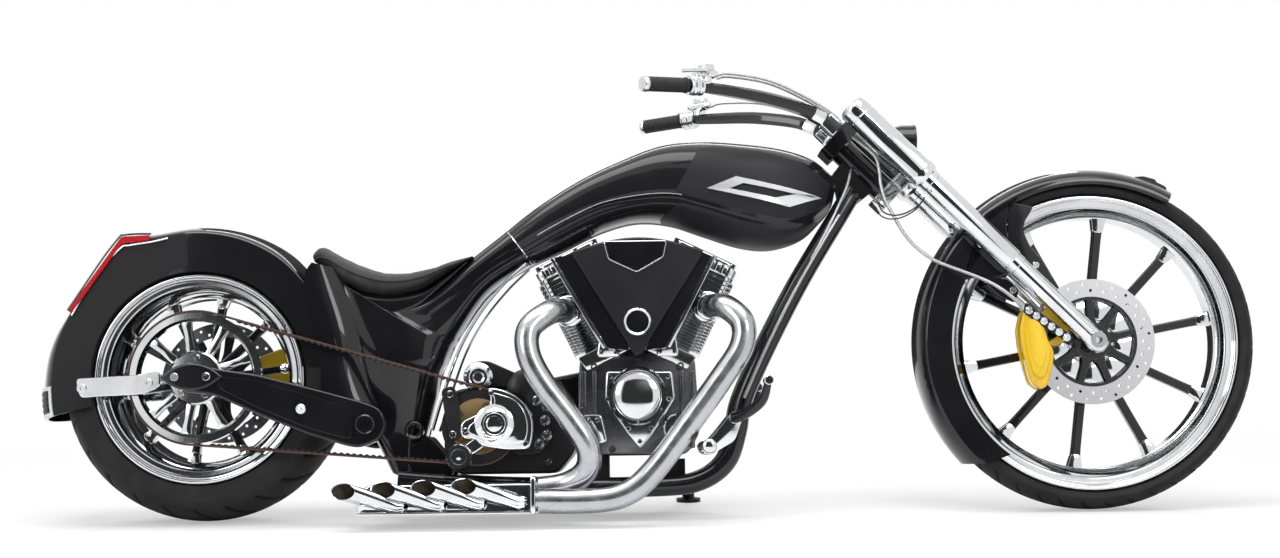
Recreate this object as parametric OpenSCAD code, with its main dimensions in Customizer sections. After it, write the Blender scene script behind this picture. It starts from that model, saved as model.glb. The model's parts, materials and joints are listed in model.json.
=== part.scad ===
// Long low chopper motorcycle, leaning on its side stand. Millimetres, +X forward, +Y to its left, +Z up.

/* [Stance] */
// Lean to the left on the side stand, degrees
lean = 5; // [3:0.5:8]
// Rake of the fork from the vertical, degrees
rake = 45; // [42:0.5:47]
// Distance of the rear tyre's front behind the crankshaft
tyre_back = 681; // [672:1:696]
// Distance of the steering neck's middle ahead of the origin
neck_x = 528; // [520:1:536]
// Height of the steering neck's middle above the front axle
neck_above_axle = 412; // [406:1:418]
// Height of the swingarm pivot
pivot_z = 218; // [205:1:230]
// Distance of the steering stem behind the fork legs
tree_offset = 70; // [66:1:78]

/* [Front wheel] */
// Outer diameter of the front tyre
front_tyre_d = 780; // [768:2:792]
// Width of the front tyre
front_tyre_w = 126; // [116:1:130]
// Height of the front tyre's wall above the rim's lip
front_wall = 43.5; // [41.5:0.5:46]
// Width of the front rim over its lips
front_rim_w = 118; // [112:1:122]
// Number of spokes in each wheel
spokes = 10; // [7:1:12]
// Diameter of both brake discs
disc_d = 292; // [280:1:300]
// Diameter of the front axle
front_axle_d = 25; // [20:1:28]

/* [Rear wheel] */
// Outer diameter of the rear tyre
rear_tyre_d = 660; // [650:1:664]
// Width of the rear tyre
rear_tyre_w = 250; // [236:1:252]
// Height of the rear tyre's wall above the rim's lip
rear_wall = 86.5; // [85:0.5:89]
// Width of the rear rim over its lips
rear_rim_w = 252; // [244:1:254]
// Diameter of the rear axle
rear_axle_d = 25; // [20:1:28]

/* [Drive] */
// Working diameter of the rear belt pulley
rear_pulley_d = 300; // [280:1:310]
// Working diameter of the front belt pulley
front_pulley_d = 168; // [150:1:176]
// Width of the drive belt
belt_w = 25; // [20:1:27]
// Thickness of the drive belt
belt_t = 5; // [4:0.5:6]
// Side distance of the belt's middle from the centre plane
belt_y = 152; // [151:0.5:154]

/* [Fork] */
// Distance between the two fork legs
leg_gap = 230; // [224:1:240]
// Diameter of the upper fork covers
cover_d = 70; // [64:1:72]
// Diameter of the fork tubes
tube_d = 56; // [52:1:60]
// Diameter of the lower fork sliders
slider_d = 48; // [44:1:52]
// Length of the fork legs above the middle of the steering neck
leg_top = 135; // [125:1:145]
// Distance of the lower yoke below the middle of the steering neck
lower_yoke_down = 73; // [66:1:80]
// Distance of the upper yoke above the middle of the steering neck
upper_yoke_up = 97; // [90:1:104]
// Thickness of each yoke
yoke_t = 34; // [28:1:36]

/* [Handlebar] */
// Half width over the ends of the handlebar
bar_half = 310; // [290:1:330]
// Diameter of the grips
grip_d = 36; // [32:1:40]
// Depth of the machined bar arms
arm_h = 30; // [24:1:34]
// Distance of the bar's ends behind the steering neck's middle
bar_reach = 528; // [515:1:540]
// Height of the bar's ends above the steering neck's middle
bar_rise = 168; // [160:1:176]

/* [Engine] */
// Half angle between the two cylinders, degrees
v_half = 26; // [24:0.5:27]
// Distance from the crankshaft to the top of the rocker boxes
head_top = 376; // [360:1:380]
// Width of the cooling fins
fin_w = 178; // [160:1:184]
// Number of fins on each cylinder
fins = 11; // [7:1:13]
// Thickness of one fin
fin_t = 3.2; // [2.5:0.1:4]
// Half width of the crankcase
case_half = 105; // [98:1:110]

/* [Exhaust] */
// Diameter of the exhaust pipes
pipe_d = 56; // [50:1:60]
// Number of outlet tips
tips = 4; // [3:1:5]
// Diameter of an outlet tip
tip_d = 42; // [36:1:44]
// Wall of an outlet tip
tip_wall = 2; // [1.5:0.5:3]

/* [Bodywork] */
// Half width of the fuel tank at its widest
tank_half = 150; // [140:1:156]
// Half width of the seat
seat_half = 122; // [112:1:126]
// Half width of the rear fender
rear_fender_half = 137; // [136:0.5:138]
// Gap between the front tyre's side and the fender's outer side
front_fender_side = 17; // [15:1:21]
// Gap between the front tyre's crown and the fender's outer side
front_fender_gap = 21; // [17:1:26]
// Thickness of the fender sheet
sheet = 4; // [3:0.5:5]
// Diameter of the frame tubes
frame_tube_d = 46; // [40:1:50]
// Half distance between the lower frame rails
rail_half = 108; // [104:1:112]

/* [Side stand] */
// Side distance of the stand's foot from the centre plane
foot_y = 300; // [280:1:320]
// Diameter of the stand's leg
stand_d = 24; // [20:1:26]

/* [Hidden] */
$fn = 72;
run_gap = 0.05; // radial gap of a shaft that turns in its bore
face_gap = 0.3; // gap between faces of neighbouring pieces
crank = [-22, 275]; // crankshaft in X, Z
neck_mid = [neck_x, front_tyre_d / 2 + neck_above_axle]; // middle of the steering stem in X, Z
front_lip_d = front_tyre_d - 2 * front_wall;
rear_lip_d = rear_tyre_d - 2 * rear_wall;
stem_r = 15;
neck_r = 32;

// Fork frame: up runs along the legs, back points from the legs to the stem
up = [-sin(rake), cos(rake)];
back = [-cos(rake), -sin(rake)];
rear_axle = [crank[0] - tyre_back - rear_tyre_d / 2, rear_tyre_d / 2];
front_axle_z = front_tyre_d / 2;
leg_at_neck = neck_mid - back * tree_offset;
axle_down = (leg_at_neck[1] - front_axle_z) / up[1]; // along the leg, from the neck's middle
front_axle = leg_at_neck - up * axle_down;
function leg_point(s) = leg_at_neck + up * s;
function stem_point(s) = leg_point(s) + back * tree_offset;
leg_y = leg_gap / 2;
front_fender_half = front_tyre_w / 2 + front_fender_side;
front_fender_r = front_tyre_d / 2 + front_fender_gap;

front_pulley = [-386, 210];
pivot = [-640, pivot_z];
belt_in = belt_y - belt_w / 2;
belt_out = belt_y + belt_w / 2;
arm_in = belt_out + 7.5;
arm_t = 28;
arm_out = arm_in + arm_t;
rim_clear = 0.5;

// Whole bike: tilted to its side stand, and moved so that its box is centred on the origin
bar_end = neck_mid + [-bar_reach, bar_rise];
muffler_out = 292;
tail_x = rear_axle[0] - rear_tyre_d / 2 - 44;
shift_x = -(tail_x + front_axle[0] + front_tyre_d / 2) / 2;
shift_y = -((bar_half - muffler_out) * cos(lean) + (bar_end[1] + 50) * sin(lean)) / 2;
rear_share = 0.42;
rear_wide_r = rear_lip_d / 2 + rear_share * (rear_tyre_d - rear_lip_d) / 2;
rear_crown = rear_tyre_d / 2 - rear_wide_r;
lift = norm([rear_crown * cos(lean), rear_tyre_w / 2 * sin(lean)]) - rear_crown * cos(lean);
module parked() { translate([shift_x, shift_y, lift]) rotate([-lean, 0, 0]) children(); }

// Curves and lofts
function between(p0, p1, p2, p3, t) =
    0.5 * (2 * p1 + (p2 - p0) * t + (2 * p0 - 5 * p1 + 4 * p2 - p3) * t * t
           + (3 * p1 - p0 - 3 * p2 + p3) * t * t * t);
function smooth(rows, per) = let(last = len(rows) - 1) [
    for (i = [0:last - 1]) for (k = [0:per - 1])
        between(rows[max(i - 1, 0)], rows[i], rows[i + 1], rows[min(i + 2, last)], k / per),
    rows[last]];
function total(list) = list * [for (i = list) 1];
function unit(v) = v / norm(v);
function power(c, e) = sign(c) * pow(abs(c), 2 / e);

// A closed skin over rings of equal length, the first and last of them flat; strip closes U-shaped ends
module skin(rings, strip = false) {
    n = len(rings[0]);
    m = len(rings);
    points = [for (r = rings) for (p = r) p];
    sides = [for (i = [0:m - 2]) for (k = [0:n - 1]) let(a = i * n + k, b = i * n + (k + 1) % n)
        each [[a, b, b + n], [a, b + n, a + n]]];
    far = (m - 1) * n;
    ends = strip ? [for (k = [0:n / 2 - 2]) let(j = n - 1 - k)
            each [[k, j - 1, k + 1], [k, j, j - 1],
                [far + k, far + k + 1, far + j - 1], [far + k, far + j - 1, far + j]]]
        : [[for (k = [n - 1:-1:0]) k], [for (k = [0:n - 1]) far + k]];
    volume = total([for (f = sides) points[f[0]] * cross(points[f[1]], points[f[2]])]);
    faces = concat(sides, ends);
    polyhedron(points, volume < 0 ? faces : [for (f = faces) [for (k = [len(f) - 1:-1:0]) f[k]]]);
}

// Row columns: x, z, tilt of the section's height, half height, half width, squareness
function section(row, n) = [for (k = [0:n - 1]) let(a = 360 * (k + 0.5) / n,
    h = row[3] * power(sin(a), row[5]), y = row[4] * power(cos(a), row[5]))
    [row[0] + h * sin(row[2]), y, row[1] + h * cos(row[2])]];
module body_of_sections(rows, per, n) { skin([for (r = smooth(rows, per)) section(r, n)]); }
// The rear axle that the rows of the rear body and the seat are drawn for
drawn_axle = [-1033, 330];
function share(v, from, to) = min(max((v - from) / (to - from), 0), 1);
// A point of the rear body or seat, moved to keep its gap to the rear tyre; the front and the foot stay
function round_tyre(p) = let(flat = [p[0], p[2]], away = unit(flat - drawn_axle),
    move = rear_axle - drawn_axle + away * (rear_axle[1] - drawn_axle[1]),
    m = move * share(p[0], -430, -580) * share(p[2], 100, 250)) p + [m[0], 0, m[1]];
module body_round_tyre(rows, per, n) {
    skin([for (r = smooth(rows, per)) [for (p = section(r, n)) round_tyre(p)]]);
}

// A round bar of radius r along points; guide is a direction that the path never follows
module bar_along(points, r, n, guide) {
    last = len(points) - 1;
    skin([for (i = [0:last]) let(t = unit(points[min(i + 1, last)] - points[max(i - 1, 0)]),
        a = unit(cross(t, guide)), b = cross(t, a))
        [for (k = [0:n - 1]) points[i] + r * (cos(360 * (k + 0.5) / n) * a + sin(360 * (k + 0.5) / n) * b)]]);
}
module both_sides() { children(); mirror([0, 1, 0]) children(); }
// Children drawn in X, Z are raised along +Y from y0 to y1
module slab(y0, y1) { translate([0, y1, 0]) rotate([90, 0, 0]) linear_extrude(y1 - y0) children(); }
module disc_y(at, r, y0, y1) {
    translate([at[0], y1, at[1]]) rotate([90, 0, 0]) cylinder(r = r, h = y1 - y0);
}
// Children drawn as radius, side are turned about an axle along Y
module turned(at, a0 = 0, sweep = 360) {
    translate([at[0], 0, at[1]]) rotate([-90, 0, 0]) rotate([0, 0, -a0 - sweep]) rotate_extrude(angle = sweep)
        children();
}
// Children stand on a plane square to the fork, with X to the bike's left and Y towards the stem
module on_fork(s) {
    p = leg_point(s);
    multmatrix([[0, back[0], up[0], p[0]], [1, 0, 0, 0], [0, back[1], up[1], p[1]]]) children();
}

// Wheels
bead_wall = 12.5;
bead_drop = 19;
function bead(rim_w) = rim_w / 2 - bead_wall;
// Tyre section: flat on the rim's bead seat, up the flange, then an ellipse over the crown
function widest(d, lip_d, share) = lip_d / 2 + share * (d - lip_d) / 2;
function tyre_half(d, w, lip_d, rim_w, share) = let(lip = lip_d / 2, y = bead(rim_w) - rim_clear,
    r0 = widest(d, lip_d, share)) concat(
    [[lip - bead_drop + rim_clear, y], [lip + rim_clear, y], [lip + rim_clear + 4, (y + w) / 3]],
    [for (t = [0:9:81]) [r0 + (d / 2 - r0) * sin(t), w / 2 * cos(t)]]);
function both_halves(half) = concat([for (p = half) [p[0], -p[1]]],
    [for (k = [len(half) - 1:-1:0]) half[k]]);
module tyre(at, d, w, lip_d, rim_w, share) {
    half = tyre_half(d, w, lip_d, rim_w, share);
    turned(at) polygon(both_halves(concat(half, [[d / 2, 1]])));
}
// Rim section: flanges, bead seats and a dropped well, then the same inside
module rim(at, lip_d, rim_w, well, hub_r, hub_y0, hub_y1, bore, turn) {
    lip = lip_d / 2;
    h = rim_w / 2;
    b = bead(rim_w);
    root = 0.85 * hub_r * sin(180 / spokes);
    outside = [[lip, h], [lip, b], [lip - bead_drop, b], [lip - bead_drop, b - 6], [lip - well, b * 0.58]];
    inside = [[lip - well - 10, b * 0.55], [lip - bead_drop - 9, b - 3], [lip - 13, h - 6], [lip - 6, h]];
    difference() {
        union() {
            turned(at) polygon(concat([for (p = outside) [p[0], -p[1]]],
                [for (k = [4:-1:0]) outside[k]],
                [for (k = [3:-1:0]) inside[k]],
                [for (p = inside) [p[0], -p[1]]]));
            disc_y(at, hub_r, hub_y0, hub_y1);
            for (k = [0:spokes - 1])
                translate([at[0], 0, at[1]]) rotate([0, -turn - k * 360 / spokes, 0]) slab(-13, 13)
                    polygon([[hub_r - 12, -root], [lip - well - 50, -11], [lip - well - 4, -18],
                        [lip - well - 4, 18], [lip - well - 50, 11], [hub_r - 12, root]]);
        }
        disc_y(at, bore, hub_y0 - 1, hub_y1 + 1);
    }
}
front_share = 0.36;
module front_tyre() {
    color("#181818") tyre(front_axle, front_tyre_d, front_tyre_w, front_lip_d, front_rim_w, front_share);
}
module rear_tyre() {
    color("#181818") tyre(rear_axle, rear_tyre_d, rear_tyre_w, rear_lip_d, rear_rim_w, rear_share);
}
front_hub_y = 52;
disc_t = 5;
front_disc_y = 74;
module front_rim() {
    color("#c8c8cc") rim(front_axle, front_lip_d, front_rim_w, 42, 48, -front_hub_y, front_hub_y,
        front_axle_d / 2 + run_gap, 10.7);
}
pulley_in = belt_in - 1;
pulley_out = belt_out + 1;
rear_disc_y = 147;
module rear_rim() {
    color("#c8c8cc") rim(rear_axle, rear_lip_d, rear_rim_w, 40, 46, -pulley_in, rear_disc_y - 0.5,
        rear_axle_d / 2 + run_gap, 8);
}
// Brake disc with windows and two rows of holes, from y0 outwards by its thickness
module brake_disc(at, y0, y1) {
    r = disc_d / 2;
    difference() {
        disc_y(at, r, y0, y1);
        for (k = [0:8]) translate([at[0], 0, at[1]]) rotate([0, k * 40, 0]) slab(y0 - 1, y1 + 1)
            polygon([[58, -12], [r - 44, -27], [r - 38, 0], [r - 44, 27], [58, 12]]);
        for (k = [0:23]) disc_y([at[0] + (r - 12 - 11 * (k % 2)) * cos(k * 15),
            at[1] + (r - 12 - 11 * (k % 2)) * sin(k * 15)], 3.5, y0 - 1, y1 + 1);
    }
}
module front_disc() {
    color("#a8a8ac") difference() {
        union() {
            brake_disc(front_axle, -front_disc_y, -front_disc_y + disc_t);
            disc_y(front_axle, 44, -front_disc_y - 6, -front_hub_y);
        }
        disc_y(front_axle, front_axle_d / 2 + 2, -front_disc_y - 7, -front_hub_y + 1);
    }
}
module rear_disc() {
    color("#a8a8ac") difference() {
        brake_disc(rear_axle, rear_disc_y, rear_disc_y + disc_t);
        disc_y(rear_axle, rear_axle_d / 2 + 2, rear_disc_y - 1, rear_disc_y + disc_t + 1);
    }
}
module rear_pulley() {
    r = rear_pulley_d / 2;
    color("#c8c8cc") difference() {
        disc_y(rear_axle, r, -pulley_out, -pulley_in);
        disc_y(rear_axle, r - 14, -pulley_out - 1, -pulley_out + 7);
        for (k = [0:8]) translate([rear_axle[0], 0, rear_axle[1]]) rotate([0, k * 40, 0])
            slab(-pulley_out - 1, -pulley_in + 1)
            polygon([[64, -12], [r - 34, -33], [r - 28, 0], [r - 34, 33], [64, 12]]);
        disc_y(rear_axle, rear_axle_d / 2 + 2, -pulley_out - 1, -pulley_in + 1);
    }
}

// Axles: a shaft with shoulders that meet the legs or the swingarm
module front_axle_pin() {
    r = front_axle_d / 2;
    color("#b8b8bc") difference() {
        union() {
            disc_y(front_axle, r, -leg_y - 34, leg_y + 34);
            both_sides() disc_y(front_axle, r + 6, leg_y + slider_d / 2 + 8.3, leg_y + 34);
        }
        disc_y(front_axle, 8, -leg_y - 35, leg_y + 35);
    }
}
module rear_axle_pin() {
    r = rear_axle_d / 2;
    color("#b8b8bc") union() {
        disc_y(rear_axle, r, -arm_out, arm_out);
        both_sides() disc_y(rear_axle, r + 6, pulley_out + 1, arm_in - face_gap);
    }
}

// Fork
cover_from = -104; // the cover's lower edge, from the neck's middle
leg_foot = -axle_down - 30;
slider_top = leg_foot + 298;
cap_h = 12;
module leg() {
    difference() {
        union() {
            on_fork(0) rotate_extrude() polygon([[0, leg_foot], [slider_d / 2, leg_foot],
                [slider_d / 2, slider_top], [tube_d / 2, slider_top], [tube_d / 2, cover_from],
                [cover_d / 2, cover_from], [cover_d / 2, leg_top - cap_h], [cover_d / 2 - cap_h, leg_top],
                [0, leg_top]]);
            disc_y(front_axle, slider_d / 2 + 9, -slider_d / 2 + 4, slider_d / 2 + 8);
        }
        disc_y(front_axle, front_axle_d / 2 + run_gap, -60, 60);
    }
}
module fork_legs() { color("#c8c8cc") for (side = [-1, 1]) translate([0, side * leg_y, 0]) leg(); }
module yoke(s) {
    on_fork(s - yoke_t / 2) difference() {
        linear_extrude(yoke_t) union() {
            for (side = [-1, 1]) translate([side * leg_y, 0]) circle(r = cover_d / 2 + 11);
            polygon([[-leg_y, -36], [leg_y, -36], [leg_y + 12, 39], [46, tree_offset + 44],
                [-46, tree_offset + 44], [-leg_y - 12, 39]]);
        }
        for (side = [-1, 1]) translate([side * leg_y, 0, -1])
            cylinder(d = cover_d + 2 * run_gap, h = yoke_t + 2);
    }
}
module fork_yokes() {
    color("#202022") union() {
        yoke(-lower_yoke_down);
        yoke(upper_yoke_up);
        on_fork(-lower_yoke_down) translate([0, tree_offset, 0])
            cylinder(r = stem_r, h = upper_yoke_up + lower_yoke_down);
        on_fork(upper_yoke_up) translate([0, tree_offset, 0]) cylinder(r = 22, h = yoke_t / 2 + 12);
    }
}
neck_0 = -lower_yoke_down + yoke_t / 2 + 1;
neck_1 = upper_yoke_up - yoke_t / 2 - 1;
gusset_half = 22;
function behind_stem(b, s) = stem_point(s) + back * b;
module gusset(grow) {
    slab(-gusset_half - grow, gusset_half + grow) polygon([behind_stem(20, neck_0 + 14 - grow),
        behind_stem(95 + grow, neck_0 + 24 - grow), behind_stem(95 + grow, neck_0 + 57 + grow),
        behind_stem(57 + grow, neck_1 - 24 + grow), behind_stem(20, neck_1 - 20 + grow)]);
}
module neck() {
    color("#141416") difference() {
        union() {
            on_fork(neck_0) translate([0, tree_offset, 0]) cylinder(r = neck_r, h = neck_1 - neck_0);
            gusset(0);
        }
        on_fork(neck_0 - 1) translate([0, tree_offset, 0])
            cylinder(r = stem_r + run_gap, h = neck_1 - neck_0 + 2);
    }
}
riser_at = upper_yoke_up + yoke_t / 2 + face_gap;
riser_back = 56;
riser = leg_point(riser_at) + back * riser_back;
riser_y = 74;
riser_h = 42;
riser_top = riser + up * (riser_h - 16);
// Columns: shares of the bar's reach, half width and rise, from the riser to the grip
bar_rows = [[0.227, 0.271, 0.75], [0.3125, 0.335, 0.857], [0.487, 0.484, 0.964], [0.659, 0.655, 1.012],
    [0.788, 0.787, 1.036]];
bar_line = concat([[riser_top[0], -riser_y, riser_top[1]]], [for (p = bar_rows)
    [neck_mid[0] - p[0] * bar_reach, -p[1] * bar_half, neck_mid[1] + p[2] * bar_rise]]);
grip_line = [bar_line[len(bar_rows)], [bar_end[0], -bar_half, bar_end[1]]];
module handlebar() {
    color("#1c1c1e") both_sides() union() {
        on_fork(riser_at) translate([-riser_y, riser_back, 0]) cylinder(r = 19, h = riser_h);
        bar_along(smooth(bar_line, 3), arm_h / 2, 8, [0, 0.2, 1]);
        bar_along(grip_line, 11, 12, [0, 0, 1]);
    }
}
module grips() {
    a = grip_line[0] + unit(grip_line[1] - grip_line[0]) * 16;
    along = grip_line[1] - a;
    color("#101010") both_sides() translate(a) multmatrix(turn_to(unit(along))) difference() {
            cylinder(d = grip_d, h = norm(along) + 4);
            translate([0, 0, -1]) cylinder(r = 11 + face_gap, h = norm(along) + 1.3);
        }
}
// Frame whose Z runs along direction d
function turn_to(d) = let(x = unit(cross([0, 0, 1], d)), y = cross(d, x))
    [[x[0], y[0], d[0], 0], [x[1], y[1], d[1], 0], [x[2], y[2], d[2], 0], [0, 0, 0, 1]];
// Clamp ring, fluid cylinder and lever, with Z along the grip, X away from the rider and Y up
clamp_from = -24;
clamp_l = 36;
module hand_controls() {
    d = unit(grip_line[1] - grip_line[0]);
    color("#c0c0c4") both_sides() translate(grip_line[0]) multmatrix(turn_to(d)) union() {
        translate([0, 0, clamp_from]) difference() {
            cylinder(r = arm_h / 2 + 8, h = clamp_l);
            translate([0, 0, -1]) cylinder(r = arm_h / 2 + 3, h = clamp_l + 2);
        }
        translate([0, arm_h / 2 + 14, clamp_from - 42]) cylinder(r = 12, h = 60);
        bar_along([[4, arm_h / 2 + 15, -44], [30, arm_h / 2 + 15, -8], [40, arm_h / 2 + 11, 50]],
            5, 8, [0, 1, 0]);
    }
}
lamp_r = 37;
lamp = neck_mid + [32, 77];
module headlamp() {
    color("#141416") union() {
        translate([lamp[0], 0, lamp[1]]) rotate([0, 90, 0]) cylinder(r1 = 24, r2 = lamp_r, h = 50);
        translate([lamp[0] + 49, 0, lamp[1]]) rotate([0, 90, 0]) cylinder(r = lamp_r, h = 39);
        on_fork(-lower_yoke_down + yoke_t / 2 + face_gap) translate([0, -14, 0]) cylinder(r = 14, h = 44);
    }
}

// Front fender: a crown with short skirts, longer skirts behind, and lugs out to the fork legs
module fender_section(half, r_top, r_side) {
    polygon(concat([[r_side, -half], [r_top - 34, -half]],
        [for (t = [-70:20:70]) [r_top - 34 + 34 * cos(t), half * sin(t) / sin(80)]],
        [[r_top - 34, half], [r_side, half], [r_side, half - sheet], [r_top - 34 - sheet / 2, half - sheet]],
        [for (t = [70:-20:-70]) [r_top - 34 - sheet / 2 + (34 - sheet / 2) * cos(t),
            (half - sheet) * sin(t) / sin(80)]],
        [[r_top - 34 - sheet / 2, -half + sheet], [r_side, -half + sheet]]));
}
// The skirts' inner edges, the webs' outline and the lug's place, as shares of the fender's radius
skirt_share = 0.898;
rear_skirt_share = 0.796;
web_line = [[-0.256, 0.803], [-0.608, 0.73], [-0.73, 0.365], [-0.499, 0.377], [-0.292, 0.584]];
web_at = 0.608;
module front_fender() {
    r = front_fender_r;
    color("#141416") union() {
        turned(front_axle, 60, 163) fender_section(front_fender_half, r, r * skirt_share);
        turned(front_axle, 138, 84) fender_section(front_fender_half, r, r * rear_skirt_share);
        both_sides() union() {
            slab(front_fender_half - sheet, front_fender_half)
                polygon([for (p = web_line) front_axle + p * front_fender_r]);
            disc_y(front_axle + up * web_at * front_fender_r, 12,
                front_fender_half - 1, leg_y - tube_d / 2 + 3);
        }
    }
}
caliper_slot = disc_t / 2 + 7; // half of the slot that the disc runs in
// Caliper outlines as shares of the disc's radius
front_caliper_line = [[-1.151, 0.534], [-1.178, -0.068], [-1, -0.63], [-0.767, -0.726], [-0.575, -0.397],
    [-0.685, 0], [-0.589, 0.425], [-0.822, 0.63]];
rear_caliper_line = [[0.63, 0.411], [0.575, 0.068], [0.685, -0.068], [1.205, 0], [1.247, 0.411],
    [1.027, 0.562]];
module front_caliper() {
    y_mid = -front_disc_y + disc_t / 2;
    color("#d8b020") difference() {
        slab(y_mid - 44, y_mid + 26) polygon([for (p = front_caliper_line) front_axle + p * disc_d / 2]);
        disc_y(front_axle, disc_d / 2 + 6, y_mid - caliper_slot, y_mid + caliper_slot);
        on_fork(leg_foot) translate([-leg_y, 0, 0])
            cylinder(d = slider_d + 2 * face_gap, h = slider_top - leg_foot);
    }
}
line_top = leg_point(-lower_yoke_down - yoke_t / 2 - face_gap) + back * 20;
function from_axle(x, y, z) = [front_axle[0] + x, y, front_axle[1] + z];
function from_fender(x, y, z) = from_axle(x * front_fender_r, y, z * front_fender_r);
line_end = [-1.17, 0.49] * disc_d / 2;
line_path = [[line_top[0], -64, line_top[1]], [line_top[0] + 10, -66, line_top[1] - 12],
    from_axle(-413, -70, 310), from_fender(-0.946, -76, 0.56), from_fender(-0.825, -92, 0.443),
    from_axle(-249, -140, 138),
    from_axle(line_end[0] - 18, -142, line_end[1] + 24), from_axle(line_end[0], -124, line_end[1])];
line_r = 4;
module brake_line() { color("#b0b0b4") bar_along(smooth(line_path, 4), line_r, 8, [0, 1, 0.1]); }

// Frame
rail_z = 68;
// Columns: x, y, z of the left-hand tube's middle line, from the neck down and back
rail_top = behind_stem(75, neck_0 + 41);
rail_line = [[rail_top[0], gusset_half + frame_tube_d / 2 + face_gap, rail_top[1]], [455, 54, 694],
    [363, 78, 546], [282, 98, 396], [222, rail_half, 268], [206, rail_half, 190],
    [180, rail_half, 122], [120, rail_half, 80], [30, rail_half, rail_z],
    [-200, rail_half, rail_z], [-390, rail_half, 74], [-575, rail_half, 90]];
module frame_rail_left() {
    color("#141416") bar_along(smooth(rail_line, 3), frame_tube_d / 2, 14, [0, 1, 0]);
}
module frame_rail_right() { mirror([0, 1, 0]) frame_rail_left(); }
rail_in = rail_half - frame_tube_d / 2;
case_z = crank[1] - 135;
cradle_x = -82.5; // middle of the bolt circle under the engine
cradle_pcd = 170;
module engine_cradle() {
    color("#202022") difference() {
        union() {
            translate([-190, -rail_in + face_gap, rail_z - 7]) cube([260, 2 * rail_in - 2 * face_gap, 14]);
            for (x = [-120, 40]) translate([x, -55, rail_z]) cube([30, 110, case_z - face_gap - rail_z]);
        }
        for (a = [45:90:315]) translate([cradle_x, 0, rail_z - 8]) rotate([0, 0, a])
            translate([cradle_pcd / 2, 0, 0]) cylinder(r = 4.2, h = 16);
    }
}

// Bodywork
// Columns: x, z, tilt of the section's height, half height, half width, squareness
joint = [-296, 632];
joint_tilt = -36.9;
tank_rows = [
    [joint[0], joint[1], joint_tilt, 50, 82, 3],
    [-223, 677, -24.9, 60, 0.6 * tank_half, 3],
    [-128, 729, -21.7, 66, 0.65 * tank_half, 3],
    [-38, 762, -14.3, 75, 0.72 * tank_half, 2.9],
    [50, 776, -6.4, 94, 0.85 * tank_half, 2.7],
    [137, 767, -1.3, 111, 0.95 * tank_half, 2.6],
    [227, 750, 1, 122, tank_half, 2.5],
    [312, 740, 6, 119, 0.94 * tank_half, 2.5],
    [384, 740, 7.2, 96, 0.72 * tank_half, 2.4],
    [434, 746, 10.7, 54, 0.36 * tank_half, 2.3],
    [450, 756, 10.7, 34, 0.24 * tank_half, 2.2]];
tank_l = tank_rows[len(tank_rows) - 1][0] - joint[0];
drawn_neck_z = 802; // height of the neck that the tank's rows are drawn for
function rise_at(x) = (neck_mid[1] - drawn_neck_z) * pow((x - joint[0]) / tank_l, 2);
module tank_shape(grow) {
    body_of_sections([for (r = tank_rows) r + [0, rise_at(r[0]), 0, grow, grow, 0]], 3, 28);
}
module fuel_tank() {
    color("#2a2a2e") difference() {
        tank_shape(0);
        gusset(face_gap);
    }
}
// Frames on the tank's sides, outlined in X, Z
trim_t = 3.5;
trim_line = [[145, 753], [212, 779], [415, 734], [336, 708]];
trim_hole = [[196, 751], [229, 763], [352, 738], [302, 729]];
module on_tank(line) { polygon([for (p = line) p + [0, rise_at(p[0])]]); }
module tank_trim() {
    color("#c8c8cc") both_sides() difference() {
        intersection() {
            tank_shape(trim_t);
            slab(20, tank_half + 20) difference() {
                on_tank(trim_line);
                on_tank(trim_hole);
            }
        }
        tank_shape(face_gap);
    }
}
body_rows = [
    [joint[0] - face_gap * cos(joint_tilt), joint[1] + face_gap * sin(joint_tilt), joint_tilt, 50, 82, 3],
    [-391, 565, -38.8, 45, 86, 3],
    [-478, 480, -50, 62, 92, 3],
    [-542, 464, -62, 108, 100, 3],
    [-586, 472, -61.5, 150, 108, 3.2],
    [-610, 483, -57, 178, 112, 3.4],
    [-604, 432, -62, 150, 114, 3.4],
    [-592, 378, -71, 117, 112, 3.2],
    [-592, 300, -76, 98, 100, 3],
    [-590, 205, -68, 75, 88, 3],
    [-572, 120, -66, 46, rail_in - face_gap, 3],
    [-566, 96, -68, 36, rail_in - face_gap, 3]];
shaft_r = 14;
module rear_body() {
    color("#161618") difference() {
        body_round_tyre(body_rows, 3, 28);
        disc_y(pivot, shaft_r + run_gap, -130, 130);
    }
}
seat_rows = [
    [-765, 612, -40, 22, 0.72 * seat_half, 2.6],
    [-738, 598, -24, 44, 0.9 * seat_half, 2.8],
    [-690, 570, -18, 42, 0.97 * seat_half, 2.8],
    [-630, 548, -4, 33, seat_half, 2.8],
    [-575, 544, 6, 30, 0.97 * seat_half, 2.8],
    [-515, 563, 20, 31, 0.88 * seat_half, 2.8],
    [-460, 594, 26, 24, 0.74 * seat_half, 2.7],
    [-412, 620, 30, 8, 0.6 * seat_half, 2.6]];
module seat() { color("#303034") body_round_tyre(seat_rows, 3, 28); }

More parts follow.
